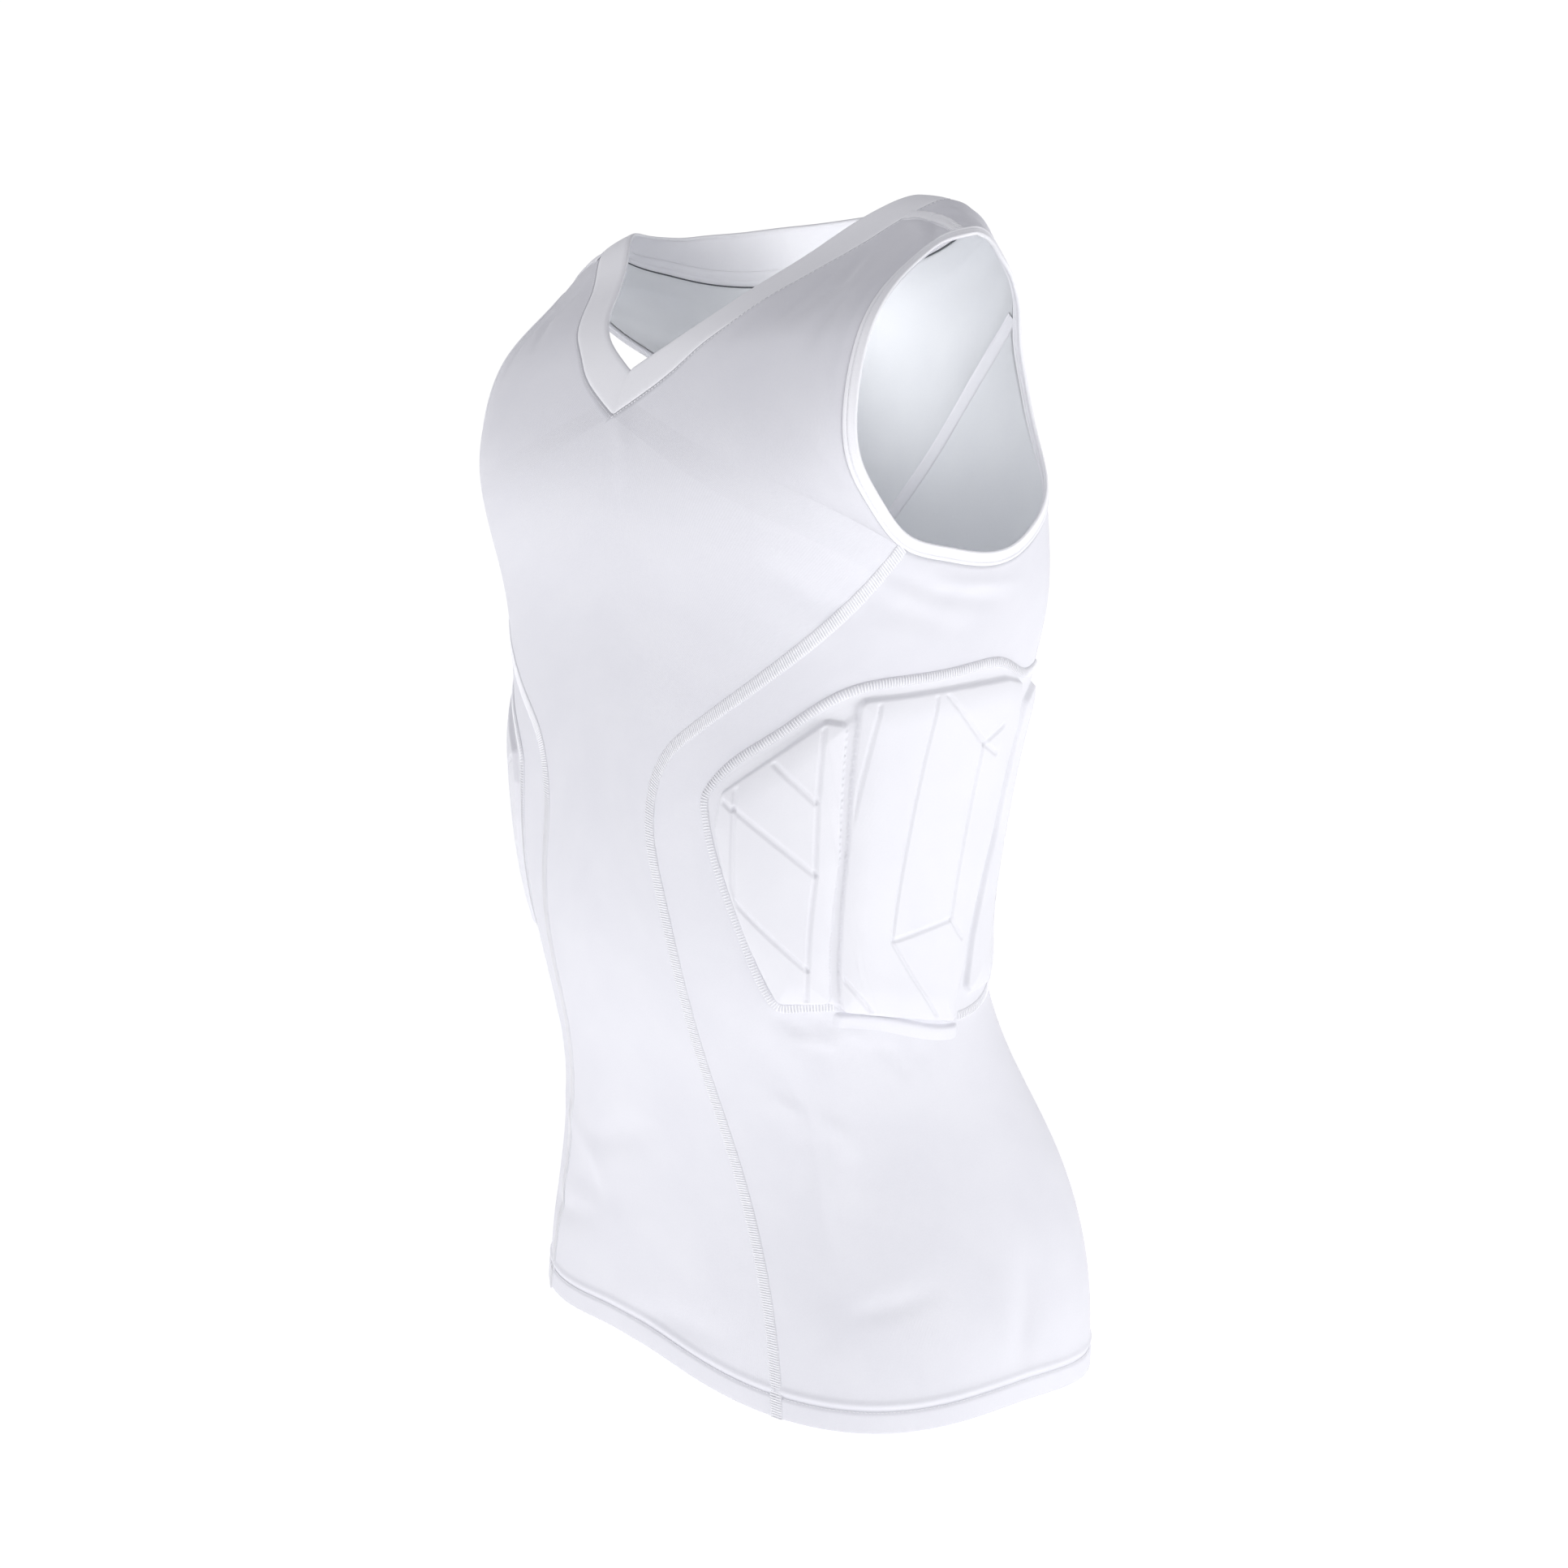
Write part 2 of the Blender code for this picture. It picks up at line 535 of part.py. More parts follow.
def front_panel(collection):
    armhole = leg(ARMHOLE_SEAM, TIP_AT_SHOULDER, SEAM_AT_ARMHOLE, ARMHOLE_FRONT_STEPS)[::-1]
    right = join(from_hem(whole(FRONT_SEAM, FRONT_SEAM_STEPS)), armhole)
    centre = from_hem(straight(HEM[0], V_POINT, FRONT_SEAM_STEPS + ARMHOLE_FRONT_STEPS - NECK_FRONT_STEPS))
    left = join(centre, leg(NECK_SEAM, V_POINT, NECK_AT_SHOULDER, NECK_FRONT_STEPS))
    top = straight(NECK_AT_SHOULDER, TIP_AT_SHOULDER, FRONT_COLUMNS)
    bottom = leg(HEM, HEM[0], FRONT_SEAM[0], FRONT_COLUMNS)
    seams = {"top": 0, "right": 0, "left": len(centre) - 1}
    cloth_wall("front_panel", patch(bottom, top, left, right), collection, seams, half=True, hem=True)


def back_yoke(collection):
    top = past_shoulder(leg(NECK_SEAM, NECK_AT_SHOULDER, NECK_BACK, NECK_BACK_STEPS)[::-1])
    armhole = leg(ARMHOLE_SEAM, YOKE_AT_ARMHOLE, TIP_PAST_SHOULDER, ARMHOLE_BACK_STEPS)
    shoulder = past_shoulder(straight(TIP_AT_SHOULDER, NECK_AT_SHOULDER, YOKE_SHOULDER_STEPS))
    right = join(armhole, shoulder)
    bottom = whole(YOKE_SEAM, NECK_BACK_STEPS)
    left = straight(YOKE_POINT, top[0], len(right) - 1)
    seams = {"bottom": 0, "top": 0, "left": 0}
    cloth_wall("back_yoke", patch(bottom, top, left, right)[:, ::-1], collection, seams, half=True)


def neckband(collection):
    """One band round the neck, mitred where it meets itself at the V."""
    front = leg(NECK_SEAM, V_POINT, NECK_AT_SHOULDER, NECK_FRONT_STEPS)
    back = leg(NECK_SEAM, NECK_AT_SHOULDER, NECK_BACK, NECK_BACK_STEPS)
    seam = join(front, back)
    edge = whole(NECK_EDGE, NECK_FRONT_STEPS + NECK_BACK_STEPS)
    share = np.linspace(0.0, 1.0, BAND_STEPS + 1)[:, None, None]
    cloth_wall("neckband", seam[None] * (1 - share) + edge[None] * share, collection, {"bottom": 0},
               TRIM_WHITE, out=BAND_PROUD, wall=BAND_WALL, half=True)


def armhole_binding(collection):
    """A folded strip round the armhole, from its seam into the opening."""
    front = leg(ARMHOLE_SEAM, TIP_AT_SHOULDER, SEAM_AT_ARMHOLE, ARMHOLE_FRONT_STEPS)
    under = leg(ARMHOLE_SEAM, SEAM_AT_ARMHOLE, YOKE_AT_ARMHOLE, UNDERARM_STEPS)
    back = leg(ARMHOLE_SEAM, YOKE_AT_ARMHOLE, TIP_PAST_SHOULDER, ARMHOLE_BACK_STEPS)
    seam = join(front, under, back)
    middle = walk(seam, -BINDING_WIDTH / 2)
    edge = walk(middle, -BINDING_WIDTH / 2)
    ring = np.stack([seam, middle, edge])
    ring[:, -1] = past_shoulder(ring[:, 0])
    return cloth_wall("armhole_binding_left", ring, collection, {"bottom": 0}, TRIM_WHITE,
                      out=BINDING_PROUD, wall=BINDING_WALL, ring=True)


def main():
    for thing in list(bpy.data.objects):
        bpy.data.objects.remove(thing)
    shirt = bpy.data.collections.new("padded_compression_shirt")
    cutters = bpy.data.collections.new("cutters")
    bpy.context.scene.collection.children.link(shirt)
    bpy.context.scene.collection.children.link(cutters)
    front_panel(shirt)
    back_yoke(shirt)
    neckband(shirt)
    panel = side_panel()
    sewn = {"top": 0, "left": 0, "right": 0}
    side = cloth_wall("side_panel_left", panel, shirt, sewn, hem=True)
    left_pieces = [side, armhole_binding(shirt), pad_cover(panel, shirt)]
    for name, pad in PADS.items():
        left_pieces.append(foam_pad(name + "_left", pad, panel, shirt, cutters))
    for piece in left_pieces:
        mirrored(piece, piece.name.replace("left", "right"), shirt)
    for piece in shirt.objects:
        pose(piece)


main()
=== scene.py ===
from collections import namedtuple

import bmesh
import bpy
import numpy as np
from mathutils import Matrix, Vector


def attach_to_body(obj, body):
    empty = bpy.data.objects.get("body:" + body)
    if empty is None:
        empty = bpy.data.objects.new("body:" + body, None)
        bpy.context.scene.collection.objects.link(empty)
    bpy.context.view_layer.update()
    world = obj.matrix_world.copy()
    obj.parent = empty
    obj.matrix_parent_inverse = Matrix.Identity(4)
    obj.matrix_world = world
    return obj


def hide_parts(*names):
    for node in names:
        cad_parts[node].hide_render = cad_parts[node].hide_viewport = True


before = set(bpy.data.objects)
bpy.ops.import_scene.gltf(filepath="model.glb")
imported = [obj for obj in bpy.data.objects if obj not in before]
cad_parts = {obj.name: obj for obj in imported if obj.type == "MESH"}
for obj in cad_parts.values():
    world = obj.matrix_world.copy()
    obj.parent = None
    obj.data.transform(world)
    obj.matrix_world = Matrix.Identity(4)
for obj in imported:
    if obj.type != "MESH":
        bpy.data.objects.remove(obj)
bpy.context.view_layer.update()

# Padded compression shirt, dressed: stretch knit panels, moulded pads, trim and thread.
# Every piece lies on one smooth figure. A place on it is an angle in degrees, from the front centre
# round the wearer's left side to the back centre, and a length of cloth down from the shoulder line.

MM = 0.001
CLOTH = 1.2 * MM
BAND_WALL = 2.0 * MM
BAND_PROUD = 0.4 * MM
BINDING_WALL = 2.4 * MM
BINDING_PROUD = 0.5 * MM
BINDING_WIDTH = 8.0 * MM
HEM_HEIGHT = 12.0 * MM
HEM_PROUD = 0.8 * MM
HEM_STEP = 2 * MM
NEEDLES_APART = 4.0 * MM
SEAM_WIDTH = 7.6 * MM
COVER_PROUD = 1.0 * MM
COVER_ROUNDING = 2.5 * MM
COVER_SUNK = 0.1 * MM
PAD_WALL = 3.2 * MM
PAD_DOME = 2.6 * MM
PAD_DOME_WIDTH = 16.0 * MM
PAD_BRIDGE = 1.4 * MM
BRIDGE_REACH = 10 * MM
BRIDGE_FADE = 4 * MM
PAD_EDGE = 1.8 * MM
PAD_SPREAD = 0.6 * MM
PAD_LIP = 2.4 * MM
PAD_LIP_REACH = 8 * MM
PAD_CORNER = 5.0 * MM
GROOVE_WIDTH = 2.6 * MM
GROOVE_DEPTH = 0.9 * MM
GROOVE_WALL = 0.9 * MM
ARC_PER_DEGREE = 2.7 * MM
SHOULDER_HALF_WIDTH = 0.200
DROP_POWER = 5
SHOULDER_LEAN = 4.7 * MM
LEAN_START = -0.18
LEAN_FULL = -0.04
SHOULDER_BACK = 30.0 * MM
BACK_START = -0.080
BACK_FULL = 0.0
BACK_MOST_AT = 0.120
BACK_REACH = 0.085
WELD = 0.01 * MM
FINE_POINTS = 400

# Spacing of the cloth's points
CELL = 3.5 * MM
SKIN_CELL = 0.85 * MM

Level = namedtuple("Level", "down height half_width front back squareness drop")
FIGURE = [
    Level(0.000, 0.008, 0.204, 0.000, 0.000, 3.5, 0.050),
    Level(0.020, -0.002, 0.204, 0.019, 0.018, 3.8, 0.044),
    Level(0.045, -0.025, 0.203, 0.037, 0.033, 4.2, 0.026),
    Level(0.075, -0.048, 0.202, 0.058, 0.049, 4.4, 0.013),
    Level(0.108, -0.073, 0.201, 0.078, 0.066, 4.6, 0.004),
    Level(0.140, -0.101, 0.200, 0.093, 0.081, 4.6, 0.001),
    Level(0.187, -0.147, 0.194, 0.109, 0.098, 4.1, 0.000),
    Level(0.257, -0.217, 0.183, 0.108, 0.124, 3.3, 0.000),
    Level(0.327, -0.287, 0.173, 0.113, 0.119, 2.8, 0.000),
    Level(0.397, -0.357, 0.164, 0.116, 0.111, 2.6, 0.000),
    Level(0.467, -0.427, 0.157, 0.111, 0.110, 2.5, 0.000),
    Level(0.539, -0.497, 0.159, 0.095, 0.135, 2.5, 0.000),
    Level(0.610, -0.566, 0.176, 0.087, 0.170, 2.5, 0.000),
    Level(0.679, -0.635, 0.193, 0.090, 0.184, 2.5, 0.000),
    Level(0.760, -0.716, 0.196, 0.097, 0.183, 2.5, 0.000),
]

# Points where seams meet, then the lines of the cut on the left half, as (angle, down)
V_POINT = (0.0, 0.154)
V_EDGE = (0.0, 0.126)
NECK_AT_SHOULDER = (34.2, 0.023)
TIP_AT_SHOULDER = (47.6, 0.016)
TIP_PAST_SHOULDER = (180.0 - 47.6, -0.016)
NECK_BACK = (0.0, -0.0445)
EDGE_BACK = (0.0, -0.0195)
SEAM_AT_ARMHOLE = (68.4, 0.226)
YOKE_AT_ARMHOLE = (135.8, 0.093)
YOKE_POINT = (180.0, 0.216)
NECK_SEAM = [V_POINT, (7.0, 0.1414), (12.8, 0.128), (17.2, 0.1125), (21.2, 0.098), (24.2, 0.080),
             (27.2, 0.058), (30.6, 0.040), NECK_AT_SHOULDER, (36.9, 0.007), (36.6, -0.009),
             (32.0, -0.024), (24.0, -0.036), (12.0, -0.0432), NECK_BACK]
NECK_EDGE = [V_EDGE, (6.4, 0.113), (11.4, 0.1005), (15.2, 0.086), (18.2, 0.067), (21.6, 0.045),
             (25.4, 0.025), (29.2, 0.009), (30.6, -0.003), (27.6, -0.012), (20.0, -0.0172),
             (10.0, -0.0193), EDGE_BACK]
ARMHOLE_SEAM = [TIP_AT_SHOULDER, (45.8, 0.025), (44.4, 0.048), (45.4, 0.075), (47.0, 0.102),
                (47.9, 0.130), (49.9, 0.158), (53.6, 0.183), (60.0, 0.206), SEAM_AT_ARMHOLE,
                (82.0, 0.2335), (95.0, 0.2368), (107.0, 0.2335), (117.0, 0.222), (126.0, 0.207),
                (134.0, 0.188), (139.2, 0.162), (140.2, 0.138), (138.8, 0.114), YOKE_AT_ARMHOLE,
                (131.6, 0.066), (129.2, 0.038), (129.4, 0.014), (130.6, -0.007), TIP_PAST_SHOULDER]
FRONT_SEAM = [(35.8, 0.7260), (34.4, 0.688), (32.0, 0.634), (29.2, 0.577), (26.7, 0.520), (25.2, 0.470),
              (21.6, 0.420), (18.9, 0.390), (19.0, 0.366), (22.2, 0.343), (28.0, 0.327), (40.0, 0.299),
              (55.2, 0.260), SEAM_AT_ARMHOLE]
YOKE_SEAM = [YOKE_POINT, (163.6, 0.178), (150.2, 0.135), YOKE_AT_ARMHOLE]
HEM = [(0.0, 0.715), (6.0, 0.7153), (18.0, 0.7195), FRONT_SEAM[0], (56.0, 0.7275), (76.0, 0.7245),
       (95.0, 0.7245), (118.0, 0.732), (150.0, 0.739), (180.0, 0.742)]
LOW_FRONT, TIP, HIGH_BACK, LOW_BACK = (47.6, 0.4830), (31.3, 0.3620), (150.4, 0.3080), (142.0, 0.4780)
COVER_FRONT = [LOW_FRONT, (44.6, 0.4670), (42.2, 0.4490), (38.2, 0.4220), (35.2, 0.4020),
               (32.6, 0.3800), TIP]
COVER_TOP = [TIP, (35.4, 0.3460), (46.0, 0.3230), (53.0, 0.3080), (60.0, 0.2990), (69.0, 0.2955),
             (82.0, 0.2936), (95.6, 0.2900), (107.0, 0.2890), (117.0, 0.2970), (126.0, 0.2948),
             (140.0, 0.2985), HIGH_BACK]
COVER_BACK = [LOW_BACK, (147.4, 0.4480), (152.0, 0.4000), (153.8, 0.3500), HIGH_BACK]
COVER_BOTTOM = [LOW_FRONT, (62.4, 0.4810), (78.8, 0.4870), (97.6, 0.4980), (120.0, 0.4930), LOW_BACK]

# Each pad's outline, clockwise as it is seen, and the lines of its flex grooves
Pad = namedtuple("Pad", "outline grooves")
PADS = [
    Pad([(36.2, 0.3590), (55.0, 0.3170), (59.8, 0.3190), (62.6, 0.3946), (61.2, 0.4765), (48.6, 0.4765),
         (42.6, 0.4387), (37.6, 0.4040), (35.4, 0.3781)],
        [[(54.8, 0.3140), (56.0, 0.3607), (57.2, 0.4020), (56.4, 0.4515), (55.2, 0.4800)],
         [(44.8, 0.3368), (55.6, 0.3607)], [(39.4, 0.3480), (39.6, 0.3660), (40.2, 0.4200)],
         [(39.6, 0.3662), (57.2, 0.4010)], [(40.4, 0.4176), (56.3, 0.4552)],
         [(35.6, 0.3598), (39.2, 0.3668)]]),
    Pad([(61.6, 0.3060), (108.0, 0.2992), (115.2, 0.3020), (118.8, 0.3250), (117.6, 0.3460),
         (116.0, 0.3882), (112.0, 0.4277), (106.8, 0.4644), (99.0, 0.4965), (63.4, 0.4795),
         (64.2, 0.4378), (64.2, 0.3864)],
        [[(82.4, 0.3020), (78.0, 0.4410), (94.8, 0.4985)], [(66.2, 0.3060), (64.2, 0.3780)],
         [(84.0, 0.3020), (102.0, 0.3340), (108.6, 0.3250)], [(102.0, 0.3340), (107.6, 0.3405)],
         [(101.8, 0.3350), (99.2, 0.4340)], [(78.4, 0.4410), (99.2, 0.4340), (104.2, 0.4470)],
         [(64.0, 0.4590), (72.8, 0.4850)]]),
    Pad([(121.8, 0.3150), (127.0, 0.3060), (145.0, 0.3140), (150.4, 0.3500), (149.0, 0.4000),
         (144.4, 0.4440), (139.6, 0.4700), (122.0, 0.4840), (106.6, 0.4840), (110.0, 0.4644),
         (115.2, 0.4277), (119.2, 0.3882), (120.8, 0.3460)],
        [[(128.6, 0.3040), (127.0, 0.4020), (120.8, 0.4860)], [(127.8, 0.3560), (144.6, 0.3390)],
         [(127.0, 0.4020), (144.2, 0.3840)], [(124.8, 0.4320), (141.6, 0.4260)],
         [(145.4, 0.3270), (142.6, 0.4460)]]),
]


def spline(knots, values, start_slope=None):
    """Cubic curve through the values, free at its ends unless a start slope is given."""
    knots = np.asarray(knots, float)
    values = np.asarray(values, float)
    gaps = np.diff(knots)
    slopes = np.diff(values) / gaps
    system = np.eye(len(knots))
    right = np.zeros(len(knots))
    for i in range(1, len(knots) - 1):
        system[i, i - 1:i + 2] = gaps[i - 1], 2 * (gaps[i - 1] + gaps[i]), gaps[i]
        right[i] = 6 * (slopes[i] - slopes[i - 1])
    if start_slope is not None:
        system[0, :2] = 2 * gaps[0], gaps[0]
        right[0] = 6 * (slopes[0] - start_slope)
    bends = np.linalg.solve(system, right)

    def value_at(place):
        place = np.clip(place, knots[0], knots[-1])
        i = np.clip(np.searchsorted(knots, place) - 1, 0, len(gaps) - 1)
        gap = gaps[i]
        past = place - knots[i]
        left = knots[i + 1] - place
        cubic = (bends[i] * left ** 3 + bends[i + 1] * past ** 3) / (6 * gap)
        straight_part = (values[i] * left + values[i + 1] * past) / gap
        return cubic + straight_part - (bends[i] * left + bends[i + 1] * past) * gap / 6

    return value_at


START_SLOPES = {"height": 0.0, "front": 1.0, "back": 1.0}
COLUMNS = {
    name: spline([level.down for level in FIGURE], [getattr(level, name) for level in FIGURE],
                 START_SLOPES.get(name))
    for name in Level._fields[1:]
}


def figure(places):
    """Points on the outside of the cloth, before its creases, at an array of (angle, down) places."""
    angle = places[..., 0]
    down = places[..., 1]
    side = np.where(angle < 0, -1.0, 1.0)
    angle = np.radians(np.where(down < 0, side * (180 - np.abs(angle)), angle))
    level = {name: column(np.abs(down)) for name, column in COLUMNS.items()}
    across = np.sin(angle)
    fore = np.cos(angle)
    power = level["squareness"]
    reach = (np.abs(across) ** power + np.abs(fore) ** power) ** (-1 / power)
    x = level["half_width"] * across * reach
    depth = (level["front"] + level["back"]) / 2
    y = (level["back"] - level["front"]) / 2 - depth * fore * reach
    z = level["height"] - level["drop"] * (np.abs(x) / SHOULDER_HALF_WIDTH) ** DROP_POWER
    return np.stack([x, y, z], axis=-1)


def slopes_at(places):
    """How a point moves for one degree of angle and for one metre down."""
    turn = np.array([0.5, 0.0])
    drop = np.array([0.0, 0.0005])
    by_angle = (figure(places + turn) - figure(places - turn)) / (2 * turn[0])
    by_down = (figure(places + drop) - figure(places - drop)) / (2 * drop[1])
    return by_angle, by_down


def unit(vectors):
    return vectors / np.linalg.norm(vectors, axis=-1, keepdims=True)


def outward(places):
    by_angle, by_down = slopes_at(places)
    return unit(np.cross(by_down, by_angle))


def lengths_along(points):
    """Length of cloth from the first point of a line, or the first row of a grid, to each of the others."""
    steps = np.linalg.norm(np.diff(points, axis=0), axis=-1)
    return np.concatenate([np.zeros_like(steps[:1]), np.cumsum(steps, axis=0)])


def leg(line, start, end, steps):
    """Places in even steps of cloth along a smooth line, between two of its own points."""
    table = np.array(line, float)
    knots = lengths_along(figure(table))
    angle_at = spline(knots, table[:, 0])
    down_at = spline(knots, table[:, 1])
    fine = np.linspace(knots[line.index(start)], knots[line.index(end)], FINE_POINTS)
    places = np.stack([angle_at(fine), down_at(fine)], axis=-1)
    return even(places, steps)


def even(places, steps):
    length = lengths_along(figure(places))
    share = np.linspace(0.0, length[-1], steps + 1)
    return np.stack([np.interp(share, length, places[:, k]) for k in (0, 1)], axis=-1)


def whole(line, steps):
    return leg(line, line[0], line[-1], steps)


def join(*legs):
    return np.concatenate([part[:-1] for part in legs[:-1]] + [legs[-1]])


def straight(start, end, steps):
    share = np.linspace(0.0, 1.0, steps + 1)[:, None]
    return np.array(start) * (1 - share) + np.array(end) * share


def patch(bottom, top, left, right):
    """Rows of places that fill the space between four lines."""
    def share(first, second):
        runs = [lengths_along(figure(line)) for line in (first, second)]
        return sum(run / run[-1] for run in runs) / 2

    s = share(bottom, top)[None, :, None]
    t = share(left, right)[:, None, None]
    up = bottom[None] * (1 - t) + top[None] * t
    over = left[:, None] * (1 - s) + right[:, None] * s
    corners = (bottom[0] * (1 - s) + bottom[-1] * s) * (1 - t) + (top[0] * (1 - s) + top[-1] * s) * t
    return up + over - corners


def past_shoulder(places):
    """The same places, measured from the other side of the shoulder line."""
    return np.array([180.0, 0.0]) - places


def right_hand(places):
    """The wearer's right-hand twin of a grid or line of places."""
    return places[..., ::-1, :] * [-1.0, 1.0]


def both_sides(places):
    """Places on the wearer's left, and their twins on the right, each with the name of its side."""
    return (("left", places), ("right", right_hand(places)))


def walk(line, distance):
    """A line moved over the figure, square to itself. Above zero is to its right."""
    ahead = np.gradient(figure(line), axis=0)
    sideways = unit(np.cross(ahead, outward(line)))
    by_angle, by_down = slopes_at(line)
    slopes = np.stack([by_angle, by_down], axis=-1)
    moves = [np.linalg.lstsq(slope, move * distance, rcond=None)[0] for slope, move in zip(slopes, sideways)]
    return line + np.array(moves)


# Creases, listed one by one: a line of places, then in millimetres how wide each is, and how high (above
# zero) or deep (below)
Crease = namedtuple("Crease", "line width height")
CREASES = [Crease(*row) for row in [
    ([(44, 0.506), (47, 0.530), (48, 0.568), (45.5, 0.616), (44, 0.654)], 7, -2.2),
    ([(50, 0.498), (54, 0.524), (53.5, 0.554), (50, 0.600), (47.5, 0.640)], 8, 2.0),
    ([(48, 0.606), (47.5, 0.634), (45.5, 0.676)], 5, -1.8),
    ([(43.5, 0.538), (46.5, 0.546), (47, 0.560)], 3.6, 1.6),
    ([(53, 0.548), (56, 0.558), (57, 0.570)], 4, 1.3),
    ([(48, 0.484), (51, 0.490), (53, 0.496)], 3, -1.5),
    ([(56, 0.485), (59, 0.490), (60, 0.495)], 3, -1.5),
    ([(51, 0.497), (56, 0.499), (61, 0.504)], 3, 1.2),
    ([(70, 0.498), (75, 0.510), (78, 0.524)], 4, -1.5),
    ([(62, 0.494), (68, 0.498), (74, 0.505)], 4, 1.2),
    ([(83, 0.508), (85.5, 0.514), (86.5, 0.524)], 4, -1.0),
    ([(95, 0.648), (94, 0.670), (89.5, 0.700)], 9, -2.4),
    ([(84, 0.650), (86, 0.680), (88, 0.704)], 8, 1.8),
    ([(50, 0.662), (58, 0.656), (67, 0.650)], 6, -1.2),
    ([(62, 0.236), (78, 0.250), (102, 0.256)], 5, -1.5),
    ([(58, 0.244), (66, 0.258), (88, 0.272)], 7, -1.3),
    ([(41, 0.236), (49, 0.252), (57, 0.262)], 8, -1.2),
    ([(80, 0.246), (92, 0.247), (108, 0.246)], 4, 1.2),
    ([(43.2, 0.040), (42.9, 0.075), (44.4, 0.100), (45.4, 0.130), (47.3, 0.160), (51.4, 0.187),
      (57, 0.209)], 4, -1.2),
    ([(25.5, 0.076), (24, 0.088), (21.5, 0.104)], 5, 1.3),
    ([(32, 0.042), (36, 0.074), (34, 0.098)], 5, -1.6),
    ([(31, 0.058), (31.5, 0.078), (31, 0.096)], 4, -1.5),
    ([(38.5, 0.070), (40, 0.095), (40, 0.115)], 5, -1.5),
    ([(35.5, 0.050), (38.5, 0.078), (38, 0.100)], 4, 1.1),
    ([(36, 0.026), (39, 0.027), (42, 0.030)], 2.5, 1.2),
    ([(40, 0.022), (43, 0.026), (45, 0.032)], 2.5, -1.6),
    ([(138, -0.014), (135, -0.006), (132, 0.000)], 3, -1.6),
    ([(141, -0.010), (137, 0.002), (132.5, 0.010)], 3, -1.6),
    ([(142, 0.002), (138, 0.012), (133, 0.022)], 3.5, 1.3),
    ([(3, 0.158), (6, 0.172), (6.5, 0.190)], 6, 1.5),
    ([(0, 0.700), (10, 0.692), (24, 0.690)], 8, -1.2),
    ([(-22, 0.608), (-8, 0.594), (5, 0.580)], 10, -1.3),
    ([(-38, 0.594), (-18, 0.614), (-8, 0.648)], 9, 1.5),
    ([(-43, 0.672), (-28, 0.664), (-17, 0.656)], 8, -1.6),
    ([(-30, 0.640), (-18, 0.634), (-6, 0.640)], 12, -1.4),
    ([(-41, 0.545), (-44, 0.600), (-44.5, 0.664)], 9, -2.0),
    ([(-52, 0.530), (-54.5, 0.560), (-52, 0.600)], 8, 1.7),
    ([(-98, 0.635), (-95, 0.668), (-91, 0.700)], 10, -2.0),
    ([(-66, 0.494), (-71, 0.506), (-75, 0.520)], 4.5, -1.4),
    ([(-80, 0.244), (-94, 0.254), (-108, 0.252)], 6, -1.4),
    ([(-60, 0.246), (-70, 0.262), (-90, 0.270)], 8, -1.2),
    ([(-33, 0.044), (-35.5, 0.074), (-33, 0.100)], 5, -1.5),
    ([(-39, 0.066), (-40.5, 0.094), (-40, 0.118)], 5, -1.3),
    ([(-43, 0.042), (-43, 0.075), (-44.2, 0.102), (-45.5, 0.130), (-47.6, 0.162),
      (-51, 0.186)], 4.5, -1.1),
    ([(168, 0.470), (176, 0.478), (-174, 0.476)], 8, -2.0),
    ([(164, 0.505), (175, 0.500), (-172, 0.508)], 9, -1.9),
    ([(160, 0.488), (174, 0.489), (-168, 0.491)], 6, 1.3),
    ([(150, 0.500), (158, 0.520), (160, 0.545)], 8, -1.6),
    ([(-149, 0.505), (-156, 0.522), (-160, 0.550)], 9, -1.6),
    ([(140, 0.250), (150, 0.262), (160, 0.258)], 8, -1.4),
    ([(-142, 0.254), (-152, 0.262), (-161, 0.255)], 8, -1.4),
    ([(158, 0.640), (150, 0.680), (152, 0.710)], 12, -1.8),
    ([(-165, 0.650), (-158, 0.690), (-160, 0.715)], 12, -1.6),
]]
CREASE_POINTS = 60


def crease_line(crease):
    """A crease as points on the figure. One that crosses the back centre goes round behind."""
    table = np.array(crease.line)
    if np.ptp(table[:, 0]) > 180:
        table[table[:, 0] < 0, 0] += 360
    share = np.linspace(0, len(table) - 1, CREASE_POINTS)
    places = np.stack([np.interp(share, range(len(table)), table[:, k]) for k in (0, 1)], axis=-1)
    return figure(places)


CREASE_LINES = [crease_line(crease) for crease in CREASES]
# A crease is strongest at its middle and has nearly faded out at its ends
CREASE_FADE = np.sin(np.linspace(0.12, 0.88, CREASE_POINTS) * np.pi)


def creased(points):
    """How far the creases move the cloth out at an array of points on the figure."""
    flat_points = points.reshape(-1, 3)
    total = np.zeros(len(flat_points))
    for crease, line in zip(CREASES, CREASE_LINES):
        width = crease.width * MM
        reach = np.linalg.norm(line[-1] - line[0]) / 2 + 4 * width
        near = np.linalg.norm(flat_points - line.mean(axis=0), axis=1) < reach
        away = np.linalg.norm(flat_points[near, None] - line[None], axis=2)
        bell = CREASE_FADE * np.exp(-(away / width) ** 2)
        total[near] += crease.height * MM * bell.max(axis=1)
    return total.reshape(points.shape[:-1])


def ease(share):
    """A share that starts and ends softly, held between 0 and 1."""
    share = np.clip(share, 0.0, 1.0)
    return share * share * (3 - 2 * share)


